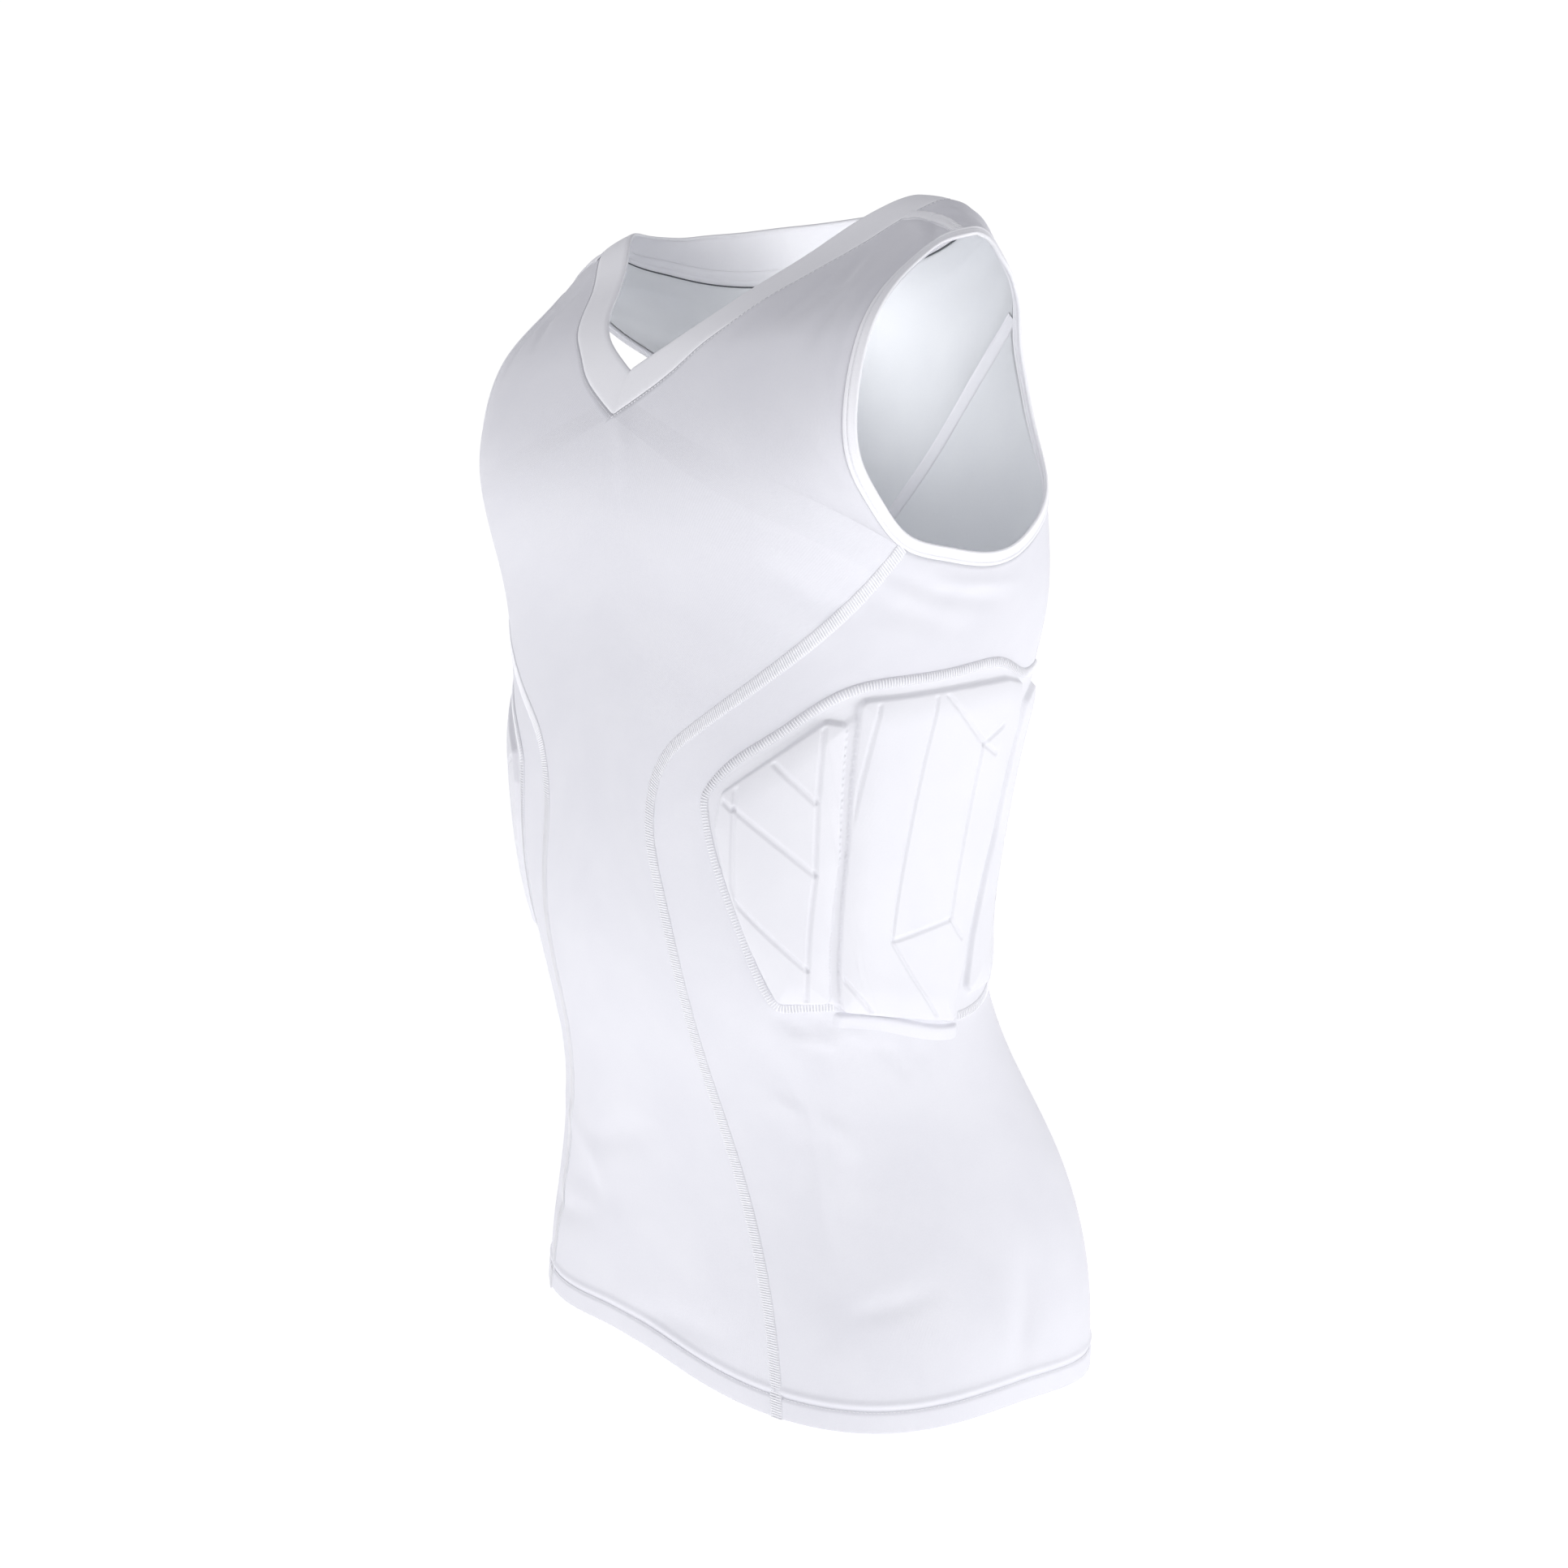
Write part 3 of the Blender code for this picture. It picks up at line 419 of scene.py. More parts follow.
def cloth_at(places, height=0.0):
    """Points of the creased cloth, with a height above its outer face, posed as the shirt is worn."""
    points = figure(places)
    points = points + outward(places) * (creased(points) + height)[..., None]
    x, _, z = np.moveaxis(points, -1, 0).copy()
    lean = ease((z - LEAN_START) / (LEAN_FULL - LEAN_START))
    back = ease((z - BACK_START) / (BACK_FULL - BACK_START))
    points[..., 1] += SHOULDER_BACK * back * np.exp(-((x - BACK_MOST_AT) / BACK_REACH) ** 2)
    points[..., 2] += SHOULDER_LEAN * lean * (x / SHOULDER_HALF_WIDTH) ** 3
    return points


# Shader helpers
def linear(hex_colour):
    """A colour written as sRGB hex, as the linear values that shaders take."""
    channels = [int(hex_colour[i:i + 2], 16) / 255 for i in (1, 3, 5)]
    return [c / 12.92 if c <= 0.04045 else ((c + 0.055) / 1.055) ** 2.4 for c in channels] + [1.0]


def add_node(tree, kind, inputs, output=0, **settings):
    """Add a node, with settings, and with input values or links by name or number. Gives one output."""
    node = tree.nodes.new(kind)
    for name, value in settings.items():
        setattr(node, name, value)
    for name, value in inputs.items():
        if isinstance(value, bpy.types.NodeSocket):
            tree.links.new(value, node.inputs[name])
        else:
            node.inputs[name].default_value = value
    return node.outputs[output] if node.outputs else None


def new_material(name, **values):
    """A material, its node tree and its shader, with some of the shader's values set."""
    material = bpy.data.materials.new(name)
    material.use_nodes = True
    shader = material.node_tree.nodes["Principled BSDF"]
    for key, value in values.items():
        shader.inputs[key.replace("_", " ")].default_value = value
    return material, material.node_tree, shader


# Grains of 1.1 mm in the yarn, mottle of 45 mm in the cloth, and plies of 0.7 mm in the thread
GRAINS_PER_METRE = 900.0
MOTTLE_PER_METRE = 22.0
PLIES_PER_METRE = 1500.0


def knit_material(name, colour, shade, wale, loop, depth, roughness, sheen):
    """Stretch knit: columns of tiny loops and a soft mottle, so that the cloth has a fine grain.

    The wale is a column's width, the loop its length, and the depth how far they stand out."""
    material, tree, shader = new_material(name, Roughness=roughness, Specular_IOR_Level=0.3,
                                          Sheen_Weight=sheen, Sheen_Roughness=0.35)
    uv = add_node(tree, "ShaderNodeUVMap", {}, uv_map="Cloth")
    over = add_node(tree, "ShaderNodeSeparateXYZ", {0: uv})
    up = over.node.outputs[1]
    across = add_node(tree, "ShaderNodeMath", {0: over, 1: np.pi / wale}, operation="MULTIPLY")
    ribs = add_node(tree, "ShaderNodeMath", {0: across}, operation="SINE")
    ridge = add_node(tree, "ShaderNodeMath", {0: ribs}, operation="ABSOLUTE")
    along = add_node(tree, "ShaderNodeMath", {0: up, 1: 2 * np.pi / loop}, operation="MULTIPLY")
    lean = add_node(tree, "ShaderNodeMath", {0: ridge, 1: 2.2, 2: along}, operation="MULTIPLY_ADD")
    loops = add_node(tree, "ShaderNodeMath", {0: lean}, operation="SINE")
    height = add_node(tree, "ShaderNodeMath", {0: loops, 1: 0.35, 2: ridge}, operation="MULTIPLY_ADD")
    grain = add_node(tree, "ShaderNodeTexNoise", {"Vector": uv, "Scale": GRAINS_PER_METRE, "Detail": 3.0})
    cloud = add_node(tree, "ShaderNodeTexNoise", {"Vector": uv, "Scale": MOTTLE_PER_METRE, "Detail": 4.0})
    mottle = add_node(tree, "ShaderNodeMath", {0: grain, 1: 0.5, 2: cloud}, operation="MULTIPLY_ADD")
    tone = add_node(tree, "ShaderNodeMapRange", {0: mottle, 1: 0.45, 2: 1.05})
    tint = add_node(tree, "ShaderNodeMix", {0: tone, 6: linear(shade), 7: linear(colour)}, 2,
                    data_type="RGBA")
    full = add_node(tree, "ShaderNodeMath", {0: grain, 1: 0.8, 2: height}, operation="MULTIPLY_ADD")
    bump = add_node(tree, "ShaderNodeBump", {"Strength": 1.0, "Distance": depth, "Height": full})
    tree.links.new(tint, shader.inputs["Base Color"])
    tree.links.new(bump, shader.inputs["Normal"])
    return material


# Polyester and elastane jersey: fine wales 0.6 mm apart, bright white with a faint cool cast
JERSEY = knit_material("compression_jersey", "#e3e3e9", "#dddde4", 0.6 * MM, 0.45 * MM, 0.05 * MM, 0.58, 0.12)
# Its back, seen inside the shirt: duller loops that read as a cool grey-green in shade, coloured whiter than
# the outer face as painted light that brightens the shaded inside
JERSEY_BACK_PAINTED_LIGHT = knit_material("jersey_back_painted_light", "#eff1f4", "#eaecf0", 0.6 * MM, 0.45 * MM, 0.06 * MM, 0.7, 0.1)
# Folded trim: the same yarn in a closer rib, a little whiter
TRIM = knit_material("trim_rib", "#f2f2f6", "#ededf2", 0.8 * MM, 0.5 * MM, 0.05 * MM, 0.55, 0.12)
# The nest of thread under a seam's top stitches: coloured a little darker than the stitches as painted shade,
# so the stitches stand out
SEAM_GROUND_PAINTED_SHADE = knit_material("seam_ground_painted_shade", "#e4e4e9", "#dadae0", 0.8 * MM, 0.5 * MM, 0.08 * MM, 0.7, 0.1)
# Jersey pressed on to foam: the heat flattens its loops, so the grain is finer and smoother
SKIN = knit_material("laminated_jersey", "#e4e4e9", "#dfdfe5", 0.5 * MM, 0.4 * MM, 0.03 * MM, 0.5, 0.1)
# A dark grey strip that draws a thin dark line inside the back neck: painted shadow along the neck tape's
# edge
GREY_PAINTED_SHADOW = knit_material("grey_painted_shadow_line", "#65686e", "#505358", 0.8 * MM, 0.5 * MM, 0.08 * MM,
                            0.6, 0.1)


def thread_material():
    """Textured polyester thread: round plies that twist along each stitch."""
    material, tree, shader = new_material("polyester_thread", Roughness=0.5, Sheen_Weight=0.1)
    place = add_node(tree, "ShaderNodeTexCoord", {}, "Object")
    twist = add_node(tree, "ShaderNodeTexNoise", {"Vector": place, "Scale": PLIES_PER_METRE})
    tint = add_node(tree, "ShaderNodeMix", {0: twist, 6: linear("#eaeaef"), 7: linear("#f8f8fa")}, 2,
                    data_type="RGBA")
    bump = add_node(tree, "ShaderNodeBump", {"Strength": 0.6, "Distance": 0.05 * MM, "Height": twist})
    tree.links.new(tint, shader.inputs["Base Color"])
    tree.links.new(bump, shader.inputs["Normal"])
    return material


THREAD = thread_material()


# Building pieces
def put(name, data):
    """A new object in the scene, at the origin."""
    thing = bpy.data.objects.new(name, data)
    bpy.context.scene.collection.objects.link(thing)
    return thing


def surface(name, grids, materials):
    """A sheet of quads over grids of points, welded where they meet, with its cloth lengths as UVs."""
    points, faces, uvs = [], [], []
    for grid in grids:
        rows, columns = grid.shape[:2]
        number = np.arange(rows * columns).reshape(rows, columns) + sum(len(part) for part in points)
        quads = np.stack([number[:-1, :-1], number[:-1, 1:], number[1:, 1:], number[1:, :-1]], axis=-1)
        faces.extend(quads.reshape(-1, 4).tolist())
        points.append(grid.reshape(-1, 3))
        run = lengths_along(grid[rows // 2]), lengths_along(grid[:, columns // 2])
        uvs.append(np.stack(np.meshgrid(*run), axis=-1).reshape(-1, 2))
    mesh = bpy.data.meshes.new(name)
    mesh.from_pydata(np.concatenate(points).tolist(), [], faces)
    corners = np.zeros(len(mesh.loops), int)
    mesh.loops.foreach_get("vertex_index", corners)
    mesh.uv_layers.new(name="Cloth").data.foreach_set("uv", np.concatenate(uvs)[corners].ravel())
    bm = bmesh.new()
    bm.from_mesh(mesh)
    bmesh.ops.remove_doubles(bm, verts=bm.verts, dist=WELD)
    bm.to_mesh(mesh)
    bm.free()
    mesh.shade_smooth()
    for material in materials:
        mesh.materials.append(material)
    return put(name, mesh)


def thicken(piece, wall):
    """Give a sheet its thickness inwards, with the second material inside."""
    solidify = piece.modifiers.new("wall", "SOLIDIFY")
    solidify.thickness = wall
    solidify.offset = -1.0
    solidify.material_offset = 1
    solidify.material_offset_rim = 0
    return piece


def attach(piece, knit, *nodes):
    """Ride on the shirt, and stand for the solids whose place the piece takes. The knit is not used."""
    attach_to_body(piece, "root")
    if nodes:
        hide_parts(*nodes)
    return piece


def steps_for(length, cell=CELL):
    return max(2, round(length / cell))


# Cloth area before it is stretched over a wearer, as a share of the stretched area
RELAXED = 0.85


def cloth_piece(name, grids, node, materials, lifts, wall=CLOTH, fold=0.0):
    """A piece of the cut: cloth that its seams hold stretched.

    The second grid goes on from the end of the first, and a third lies beside the second. The fold is the
    width that is turned over the edge."""
    points = [cloth_at(grid, lift) for grid, lift in zip(grids, lifts)]
    piece = thicken(surface(name, points, materials), wall)
    widths = [np.linalg.norm(np.diff(grid, axis=1), axis=2).sum(axis=1).max() for grid in points]
    width = max(widths)
    area = fold * width * RELAXED
    for grid in points:
        cells = np.cross(grid[1:, :-1] - grid[:-1, :-1], grid[:-1, 1:] - grid[:-1, :-1])
        area += np.linalg.norm(cells, axis=-1).sum() * RELAXED
    attach(piece, node, node)
    return piece


def cloth_panel(name, grids, node):
    """A panel of jersey. Its first grid starts at the hem, and the others don't reach it."""
    lifts = [hem_lift(grids[0])] + [np.zeros(grid.shape[:2]) for grid in grids[1:]]
    return cloth_piece(name, grids, node, (JERSEY, JERSEY_BACK_PAINTED_LIGHT), lifts)


def strip(line, offsets):
    """Rows of places beside a line, at each of some distances to its right."""
    reach = max(max(offsets), 0.0), min(min(offsets), 0.0)
    far = [walk(line, distance) for distance in reach]
    rows = []
    for offset in offsets:
        side = 0 if offset > 0 else 1
        rows.append(line + (far[side] - line) * (offset / (reach[side] or 1.0)))
    return np.stack(rows)


# How many cells fit along each run of cloth, from its length in metres
FRONT_ROWS = steps_for(0.62)
ARMHOLE_ROWS = steps_for(0.21)
NECK_ROWS = steps_for(0.23)
FRONT_COLUMNS = steps_for(0.14)
UNDERARM_COLUMNS = steps_for(0.40)
NECK_BACK_COLUMNS = steps_for(0.16)
SHOULDER_ROWS = steps_for(0.045)
ARMHOLE_BACK_ROWS = steps_for(0.10)
BAND_ROWS = steps_for(0.025, CELL / 3)
BINDING_ROWS = 20

# The hem's stitching presses a trough into the cloth, and a roll stands above it
TROUGH_DEPTH, TROUGH_WIDTH, TROUGH_ABOVE = 1.1 * MM, 1.1 * MM, 0.6 * MM
ROLL_HEIGHT, ROLL_WIDTH, ROLL_ABOVE = 1.0 * MM, 2.2 * MM, 4.0 * MM
HEM_DETAIL = 9 * MM
HEM_POINTS = 26


def hem_fold(up):
    """Height of the turned-up hem at a length of cloth up from its edge."""
    return HEM_PROUD * ease((HEM_HEIGHT + HEM_STEP - up) / HEM_STEP)


def hem_lift(places):
    """Height of the turned-up hem above the cloth, with a soft roll at its stitching."""
    up = lengths_along(figure(places))
    trough = np.exp(-((up - HEM_HEIGHT - TROUGH_ABOVE) / TROUGH_WIDTH) ** 2)
    roll = np.exp(-((up - HEM_HEIGHT - ROLL_ABOVE) / ROLL_WIDTH) ** 2)
    return hem_fold(up) - TROUGH_DEPTH * trough + ROLL_HEIGHT * roll


def with_hem(line):
    """A line with extra points near its start, for the hem's folds."""
    length = lengths_along(figure(line))
    near = np.linspace(0.0, HEM_HEIGHT + HEM_DETAIL, HEM_POINTS)
    far = np.linspace(near[-1], length[-1], len(line))[1:]
    where = np.concatenate([near, far])
    return np.stack([np.interp(where, length, line[:, k]) for k in (0, 1)], axis=-1)


armhole_front = leg(ARMHOLE_SEAM, TIP_AT_SHOULDER, SEAM_AT_ARMHOLE, ARMHOLE_ROWS)[::-1]
front_right = join(with_hem(whole(FRONT_SEAM, FRONT_ROWS)), armhole_front)
front_left = join(with_hem(straight(HEM[0], V_POINT, FRONT_ROWS + ARMHOLE_ROWS - NECK_ROWS)),
                  leg(NECK_SEAM, V_POINT, NECK_AT_SHOULDER, NECK_ROWS))
shoulder = straight(NECK_AT_SHOULDER, TIP_AT_SHOULDER, FRONT_COLUMNS)
front_half = patch(leg(HEM, HEM[0], FRONT_SEAM[0], FRONT_COLUMNS), shoulder, front_left, front_right)


def whole_width(half):
    """Both halves of a grid whose first column lies on the centre line."""
    return np.concatenate([right_hand(half)[:, :-1], half], axis=1)


V_ROW = len(front_left) - 1 - NECK_ROWS
front_grids = [whole_width(front_half[:V_ROW + 1]), front_half[V_ROW:], right_hand(front_half[V_ROW:])]
cloth_panel("front_cloth", front_grids, "front_panel")

# Side panels, from the front seam round under the arm to the centre back
under_armhole = leg(ARMHOLE_SEAM, SEAM_AT_ARMHOLE, YOKE_AT_ARMHOLE, UNDERARM_COLUMNS)
side_left = with_hem(whole(FRONT_SEAM, FRONT_ROWS))
side_right = join(with_hem(straight(HEM[-1], YOKE_POINT, FRONT_ROWS - NECK_BACK_COLUMNS)),
                  whole(YOKE_SEAM, NECK_BACK_COLUMNS))
side_grid = patch(leg(HEM, FRONT_SEAM[0], HEM[-1], UNDERARM_COLUMNS), under_armhole, side_left, side_right)
for side, grid in both_sides(side_grid):
    cloth_panel("side_cloth_" + side, [grid], "side_panel_" + side)

# Back yoke, over the shoulder line to the shoulder seams
yoke_top = past_shoulder(leg(NECK_SEAM, NECK_AT_SHOULDER, NECK_BACK, NECK_BACK_COLUMNS)[::-1])
yoke_shoulder = past_shoulder(straight(TIP_AT_SHOULDER, NECK_AT_SHOULDER, SHOULDER_ROWS))
yoke_right = join(leg(ARMHOLE_SEAM, YOKE_AT_ARMHOLE, TIP_PAST_SHOULDER, ARMHOLE_BACK_ROWS), yoke_shoulder)
yoke_left = straight(YOKE_POINT, yoke_top[0], len(yoke_right) - 1)
yoke_half = patch(whole(YOKE_SEAM, NECK_BACK_COLUMNS), yoke_top, yoke_left, yoke_right)


def over_the_back(places):
    """The right-hand twin of some places near the back centre, with angles that go on past it."""
    return places * [-1.0, 1.0] + [360.0, 0.0]


yoke_grid = np.concatenate([yoke_half[:, ::-1], over_the_back(yoke_half)[:, 1:]], axis=1)
cloth_piece("yoke_cloth", [yoke_grid], "back_yoke", (JERSEY, JERSEY_BACK_PAINTED_LIGHT), [np.zeros(yoke_grid.shape[:2])])


# Neckband: a folded strip, mitred at the V
def folded_height(grid, along_axis, proud, dents):
    """Height across a folded strip: its free edge rolls down, and each dent is a (share, depth, width)."""
    share = np.linspace(0.0, 1.0, grid.shape[1 - along_axis])
    height = np.full(len(share), proud)
    for place, depth, width in dents:
        height -= depth * np.exp(-((share - place) / width) ** 2)
    shape = [1, 1]
    shape[1 - along_axis] = len(share)
    return np.broadcast_to(height.reshape(shape), grid.shape[:2]).copy()


NECK_LINE_ROWS = steps_for(0.42)
neck_edge = whole(NECK_EDGE, NECK_LINE_ROWS)
neck_seam = whole(NECK_SEAM, NECK_LINE_ROWS)
band_half = patch(straight(V_EDGE, V_POINT, BAND_ROWS), straight(EDGE_BACK, NECK_BACK, BAND_ROWS),
                  neck_edge, neck_seam)
band_height = folded_height(band_half, 0, BAND_PROUD, [(0.0, 0.9 * MM, 0.05), (1.0, 0.5 * MM, 0.04)])
MITRE_DEPTH, MITRE_WIDTH = 0.7 * MM, 1.2 * MM
from_v = lengths_along(figure(neck_seam))
band_height -= (MITRE_DEPTH * np.exp(-(from_v / MITRE_WIDTH) ** 2))[:, None]
cloth_piece("neckband_cloth", [band_half, right_hand(band_half)], "neckband", (TRIM, TRIM),
            [band_height, band_height[:, ::-1]], BAND_WALL)

# Armhole bindings: a strip folded over each raw edge, ridged by its stitching
armhole_ring = join(armhole_front[::-1], under_armhole,
                    leg(ARMHOLE_SEAM, YOKE_AT_ARMHOLE, TIP_PAST_SHOULDER, ARMHOLE_BACK_ROWS))
binding = strip(armhole_ring, -np.linspace(0.0, BINDING_WIDTH, BINDING_ROWS + 1))
binding[:, -1] = past_shoulder(binding[:, 0])
# Its two edges, the stitching at 0.3 of its width, and the flat behind it
BINDING_DENTS = [(0.0, 0.8 * MM, 0.06), (0.30, 0.8 * MM, 0.05), (0.62, 0.2 * MM, 0.20), (1.0, 1.1 * MM, 0.07)]
binding_height = folded_height(binding, 1, BINDING_PROUD + 0.4 * MM, BINDING_DENTS)
for side, grid in both_sides(binding):
    cloth_piece("armhole_binding_cloth_" + side, [grid], "armhole_binding_" + side, (TRIM, TRIM),
                [binding_height], BINDING_WALL, fold=2 * BINDING_WALL)


# Pads: one skin of jersey over moulded foam, on each side panel
def flat_place(places):
    """Places as metres across and up, for distances between the lines of the pads."""
    return np.asarray(places, float) * [ARC_PER_DEGREE, -1.0]


def apart(points, start, end):
    """Distance of each point from a segment."""
    run = end - start
    share = np.clip((points - start) @ run / (run @ run), 0.0, 1.0)
    return np.linalg.norm(points - start - share[..., None] * run, axis=-1)


def inset(outline, depth):
    """A closed outline moved inwards. Its points run clockwise."""
    ahead = unit(np.roll(outline, -1, axis=0) - outline)
    inwards = np.stack([ahead[:, 1], -ahead[:, 0]], axis=-1)
    before = np.roll(inwards, 1, axis=0)
    return outline + depth * (inwards + before) / (1 + (inwards * before).sum(axis=1, keepdims=True))


def inside_depth(points, outline):
    """How far each point lies inside a closed outline: below zero outside it."""
    nearest = np.full(points.shape[:-1], np.inf)
    crossed = np.zeros(points.shape[:-1], bool)
    for start, end in zip(outline, np.roll(outline, -1, axis=0)):
        nearest = np.minimum(nearest, apart(points, start, end))
        between = (points[..., 1] < start[1]) != (points[..., 1] < end[1])
        rise = end[1] - start[1] or 1.0
        crossing = start[0] + (points[..., 1] - start[1]) / rise * (end[0] - start[0])
        crossed ^= between & (points[..., 0] < crossing)
    return np.where(crossed, nearest, -nearest)


# Between these two angles the side pad overhangs the cover's lower edge and hides its stitching
TUCK_START, TUCK_END, TUCK_FADE = 61.0, 103.0, 3.0
TUCK_BELOW = 0.45


def tuck(places):
    """How far the side pad overhangs the cover's edge at some places, from 0 to 1."""
    angle = np.abs(places[..., 0])
    inside = ease((angle - TUCK_START) / TUCK_FADE) * ease((TUCK_END - angle) / TUCK_FADE)
    return inside * (places[..., 1] > TUCK_BELOW)


SIDE_STEPS, TOP_STEPS = 60, 80
PAD_EDGE_FULLNESS = 0.7


def pad_heights(grid):
    """Height of the skin above the side panel: the cover's edge, each moulded pad, and its grooves."""
    points = flat_place(grid)
    legs = [whole(COVER_FRONT, SIDE_STEPS), whole(COVER_TOP, TOP_STEPS),
            whole(COVER_BACK, SIDE_STEPS)[::-1], whole(COVER_BOTTOM, TOP_STEPS)[::-1]]
    border = np.concatenate([flat_place(part)[:-1] for part in legs])
    into_cover = inside_depth(points, inset(border, PAD_CORNER)) + PAD_CORNER
    height = COVER_PROUD * ease(into_cover / COVER_ROUNDING) - COVER_SUNK
    for pad in PADS:
        outline = flat_place(pad.outline)
        depth = inside_depth(points, inset(outline, PAD_CORNER)) + PAD_CORNER
        dome = 1 - (1 - np.clip(depth / PAD_DOME_WIDTH, 0.0, 1.0)) ** 2
        height += PAD_WALL * ease((depth + PAD_SPREAD) / PAD_EDGE) ** PAD_EDGE_FULLNESS + PAD_DOME * dome
        beside = np.maximum(-depth, 0.0)
        if pad is not PADS[0]:
            between = ease((BRIDGE_REACH - beside - last_beside) / BRIDGE_FADE)
            height += PAD_BRIDGE * (between * (np.minimum(beside, last_beside) > 0))
        last_beside = beside
        for line in pad.grooves:
            groove = flat_place(line)
            reach = np.min([apart(points, *ends) for ends in zip(groove[:-1], groove[1:])], axis=0)
            inside = ease((depth - PAD_EDGE) / PAD_EDGE)
            height -= GROOVE_DEPTH * inside * ease((GROOVE_WIDTH / 2 + GROOVE_WALL / 2 - reach) / GROOVE_WALL)
    return height


COVER_ROWS = steps_for(0.19, SKIN_CELL)
COVER_COLUMNS = steps_for(0.30, SKIN_CELL)
cover_grid = patch(whole(COVER_BOTTOM, COVER_COLUMNS), whole(COVER_TOP, COVER_COLUMNS),
                   whole(COVER_FRONT, COVER_ROWS), whole(COVER_BACK, COVER_ROWS))
cover_height = pad_heights(cover_grid)
from_edge = np.linalg.norm(figure(cover_grid) - figure(cover_grid[:1]), axis=-1)
lip = tuck(cover_grid) * np.exp(-(from_edge / PAD_LIP_REACH) ** 2) * ease(cover_height / PAD_WALL)
cover_grid[..., 1] += PAD_LIP * lip
for (side, grid), height in zip(both_sides(cover_grid), (cover_height, cover_height[:, ::-1])):
    skin = surface("pad_skin_" + side, [cloth_at(grid, height)], [SKIN])
    nodes = [part + side for part in ("pad_cover_", "pad_front_", "pad_side_", "pad_back_")]
    attach(skin, nodes[0], *nodes)

# Seams: a band of thread over each join, and the stitches that cross it
FLATLOCK_PITCH = 1.45 * MM
FLATLOCK_SLANT = 1.5 * MM
COVER_PITCH = 1.7 * MM
NECK_PITCH = 2.5 * MM
HEM_PITCH = 2.3 * MM
BINDING_PITCH = 2.4 * MM
THREAD_RADIUS = 0.40 * MM
THREAD_SIDES = 6
THREAD_END = 0.45


def thread_shape(name, path, radius):
    """A round thread along a path, thinner at its two ends."""
    path = np.array(path, float)
    ahead = unit(np.gradient(path, axis=0))
    level = unit(np.cross(ahead, [0.0, 0.0, 1.0]))
    upright = np.cross(level, ahead)
    turns = np.linspace(0.0, 2 * np.pi, THREAD_SIDES + 1)[:, None, None]
    widths = np.full((1, len(path), 1), radius)
    widths[:, [0, -1]] *= THREAD_END
    ring = path + widths * (np.cos(turns) * level + np.sin(turns) * upright)
    shape = surface(name, [ring], [THREAD])
    bpy.context.scene.collection.objects.unlink(shape)
    return shape


def stitch_group():
    """Copies of one stitch, one at each point of a mesh, each turned along the seam and a little uneven."""
    tree = bpy.data.node_groups.new("stitches", "GeometryNodeTree")
    sockets = {}
    for name, kind in (("Points", "NodeSocketGeometry"), ("Stitch", "NodeSocketObject"),
                       ("Unevenness", "NodeSocketFloat"), ("Seed", "NodeSocketInt"),
                       ("Thread", "NodeSocketMaterial")):
        sockets[name] = tree.interface.new_socket(name=name, in_out="INPUT", socket_type=kind).identifier
    tree.interface.new_socket(name="Stitching", in_out="OUTPUT", socket_type="NodeSocketGeometry")
    given = tree.nodes.new("NodeGroupInput").outputs
    ahead = add_node(tree, "GeometryNodeInputNamedAttribute", {"Name": "ahead"}, data_type="FLOAT_VECTOR")
    out = add_node(tree, "GeometryNodeInputNamedAttribute", {"Name": "out"}, data_type="FLOAT_VECTOR")
    turn = add_node(tree, "FunctionNodeAxesToRotation", {0: out, 1: ahead},
                    primary_axis="Z", secondary_axis="X")
    least = add_node(tree, "ShaderNodeMath", {0: 1.0, 1: given["Unevenness"]}, operation="SUBTRACT")
    most = add_node(tree, "ShaderNodeMath", {0: 1.0, 1: given["Unevenness"]}, operation="ADD")
    size = add_node(tree, "FunctionNodeRandomValue", {2: least, 3: most, "Seed": given["Seed"]}, 1,
                    data_type="FLOAT")
    shape = add_node(tree, "GeometryNodeObjectInfo", {"Object": given["Stitch"]}, "Geometry")
    copies = add_node(tree, "GeometryNodeInstanceOnPoints",
                      {"Points": given["Points"], "Instance": shape, "Rotation": turn, "Scale": size})
    real = add_node(tree, "GeometryNodeRealizeInstances", {0: copies})
    finished = add_node(tree, "GeometryNodeSetMaterial", {"Geometry": real, "Material": given["Thread"]})
    add_node(tree, "NodeGroupOutput", {0: finished})
    return tree, sockets


STITCHES, STITCH_INPUTS = stitch_group()
UNEVENNESS = 0.06


def stitch_row(name, line, pitch, heights, shape, seed):
    """Stitches at an even pitch along a line, at heights above the cloth given along it, as a plain mesh."""
    length = lengths_along(figure(line))
    steps = max(2, round(length[-1] / pitch))
    spots = even(line, steps)
    rise = np.interp(np.linspace(0.0, length[-1], steps + 1), length, np.broadcast_to(heights, len(line)))
    points = cloth_at(spots, rise)
    mesh = bpy.data.meshes.new(name)
    mesh.from_pydata(points.tolist(), [], [])
    for key, vectors in (("ahead", unit(np.gradient(points, axis=0))), ("out", outward(spots))):
        mesh.attributes.new(key, "FLOAT_VECTOR", "POINT").data.foreach_set("vector", vectors.ravel())
    row = put(name, mesh)
    sewing = row.modifiers.new("stitches", "NODES")
    sewing.node_group = STITCHES
    for key, value in (("Stitch", shape), ("Unevenness", UNEVENNESS), ("Seed", seed), ("Thread", THREAD)):
        sewing[STITCH_INPUTS[key]] = value
    bpy.context.view_layer.update()
    row.data = bpy.data.meshes.new_from_object(row.evaluated_get(bpy.context.evaluated_depsgraph_get()))
    row.modifiers.clear()
    row.data.shade_smooth()
    return attach(row, "front_panel")
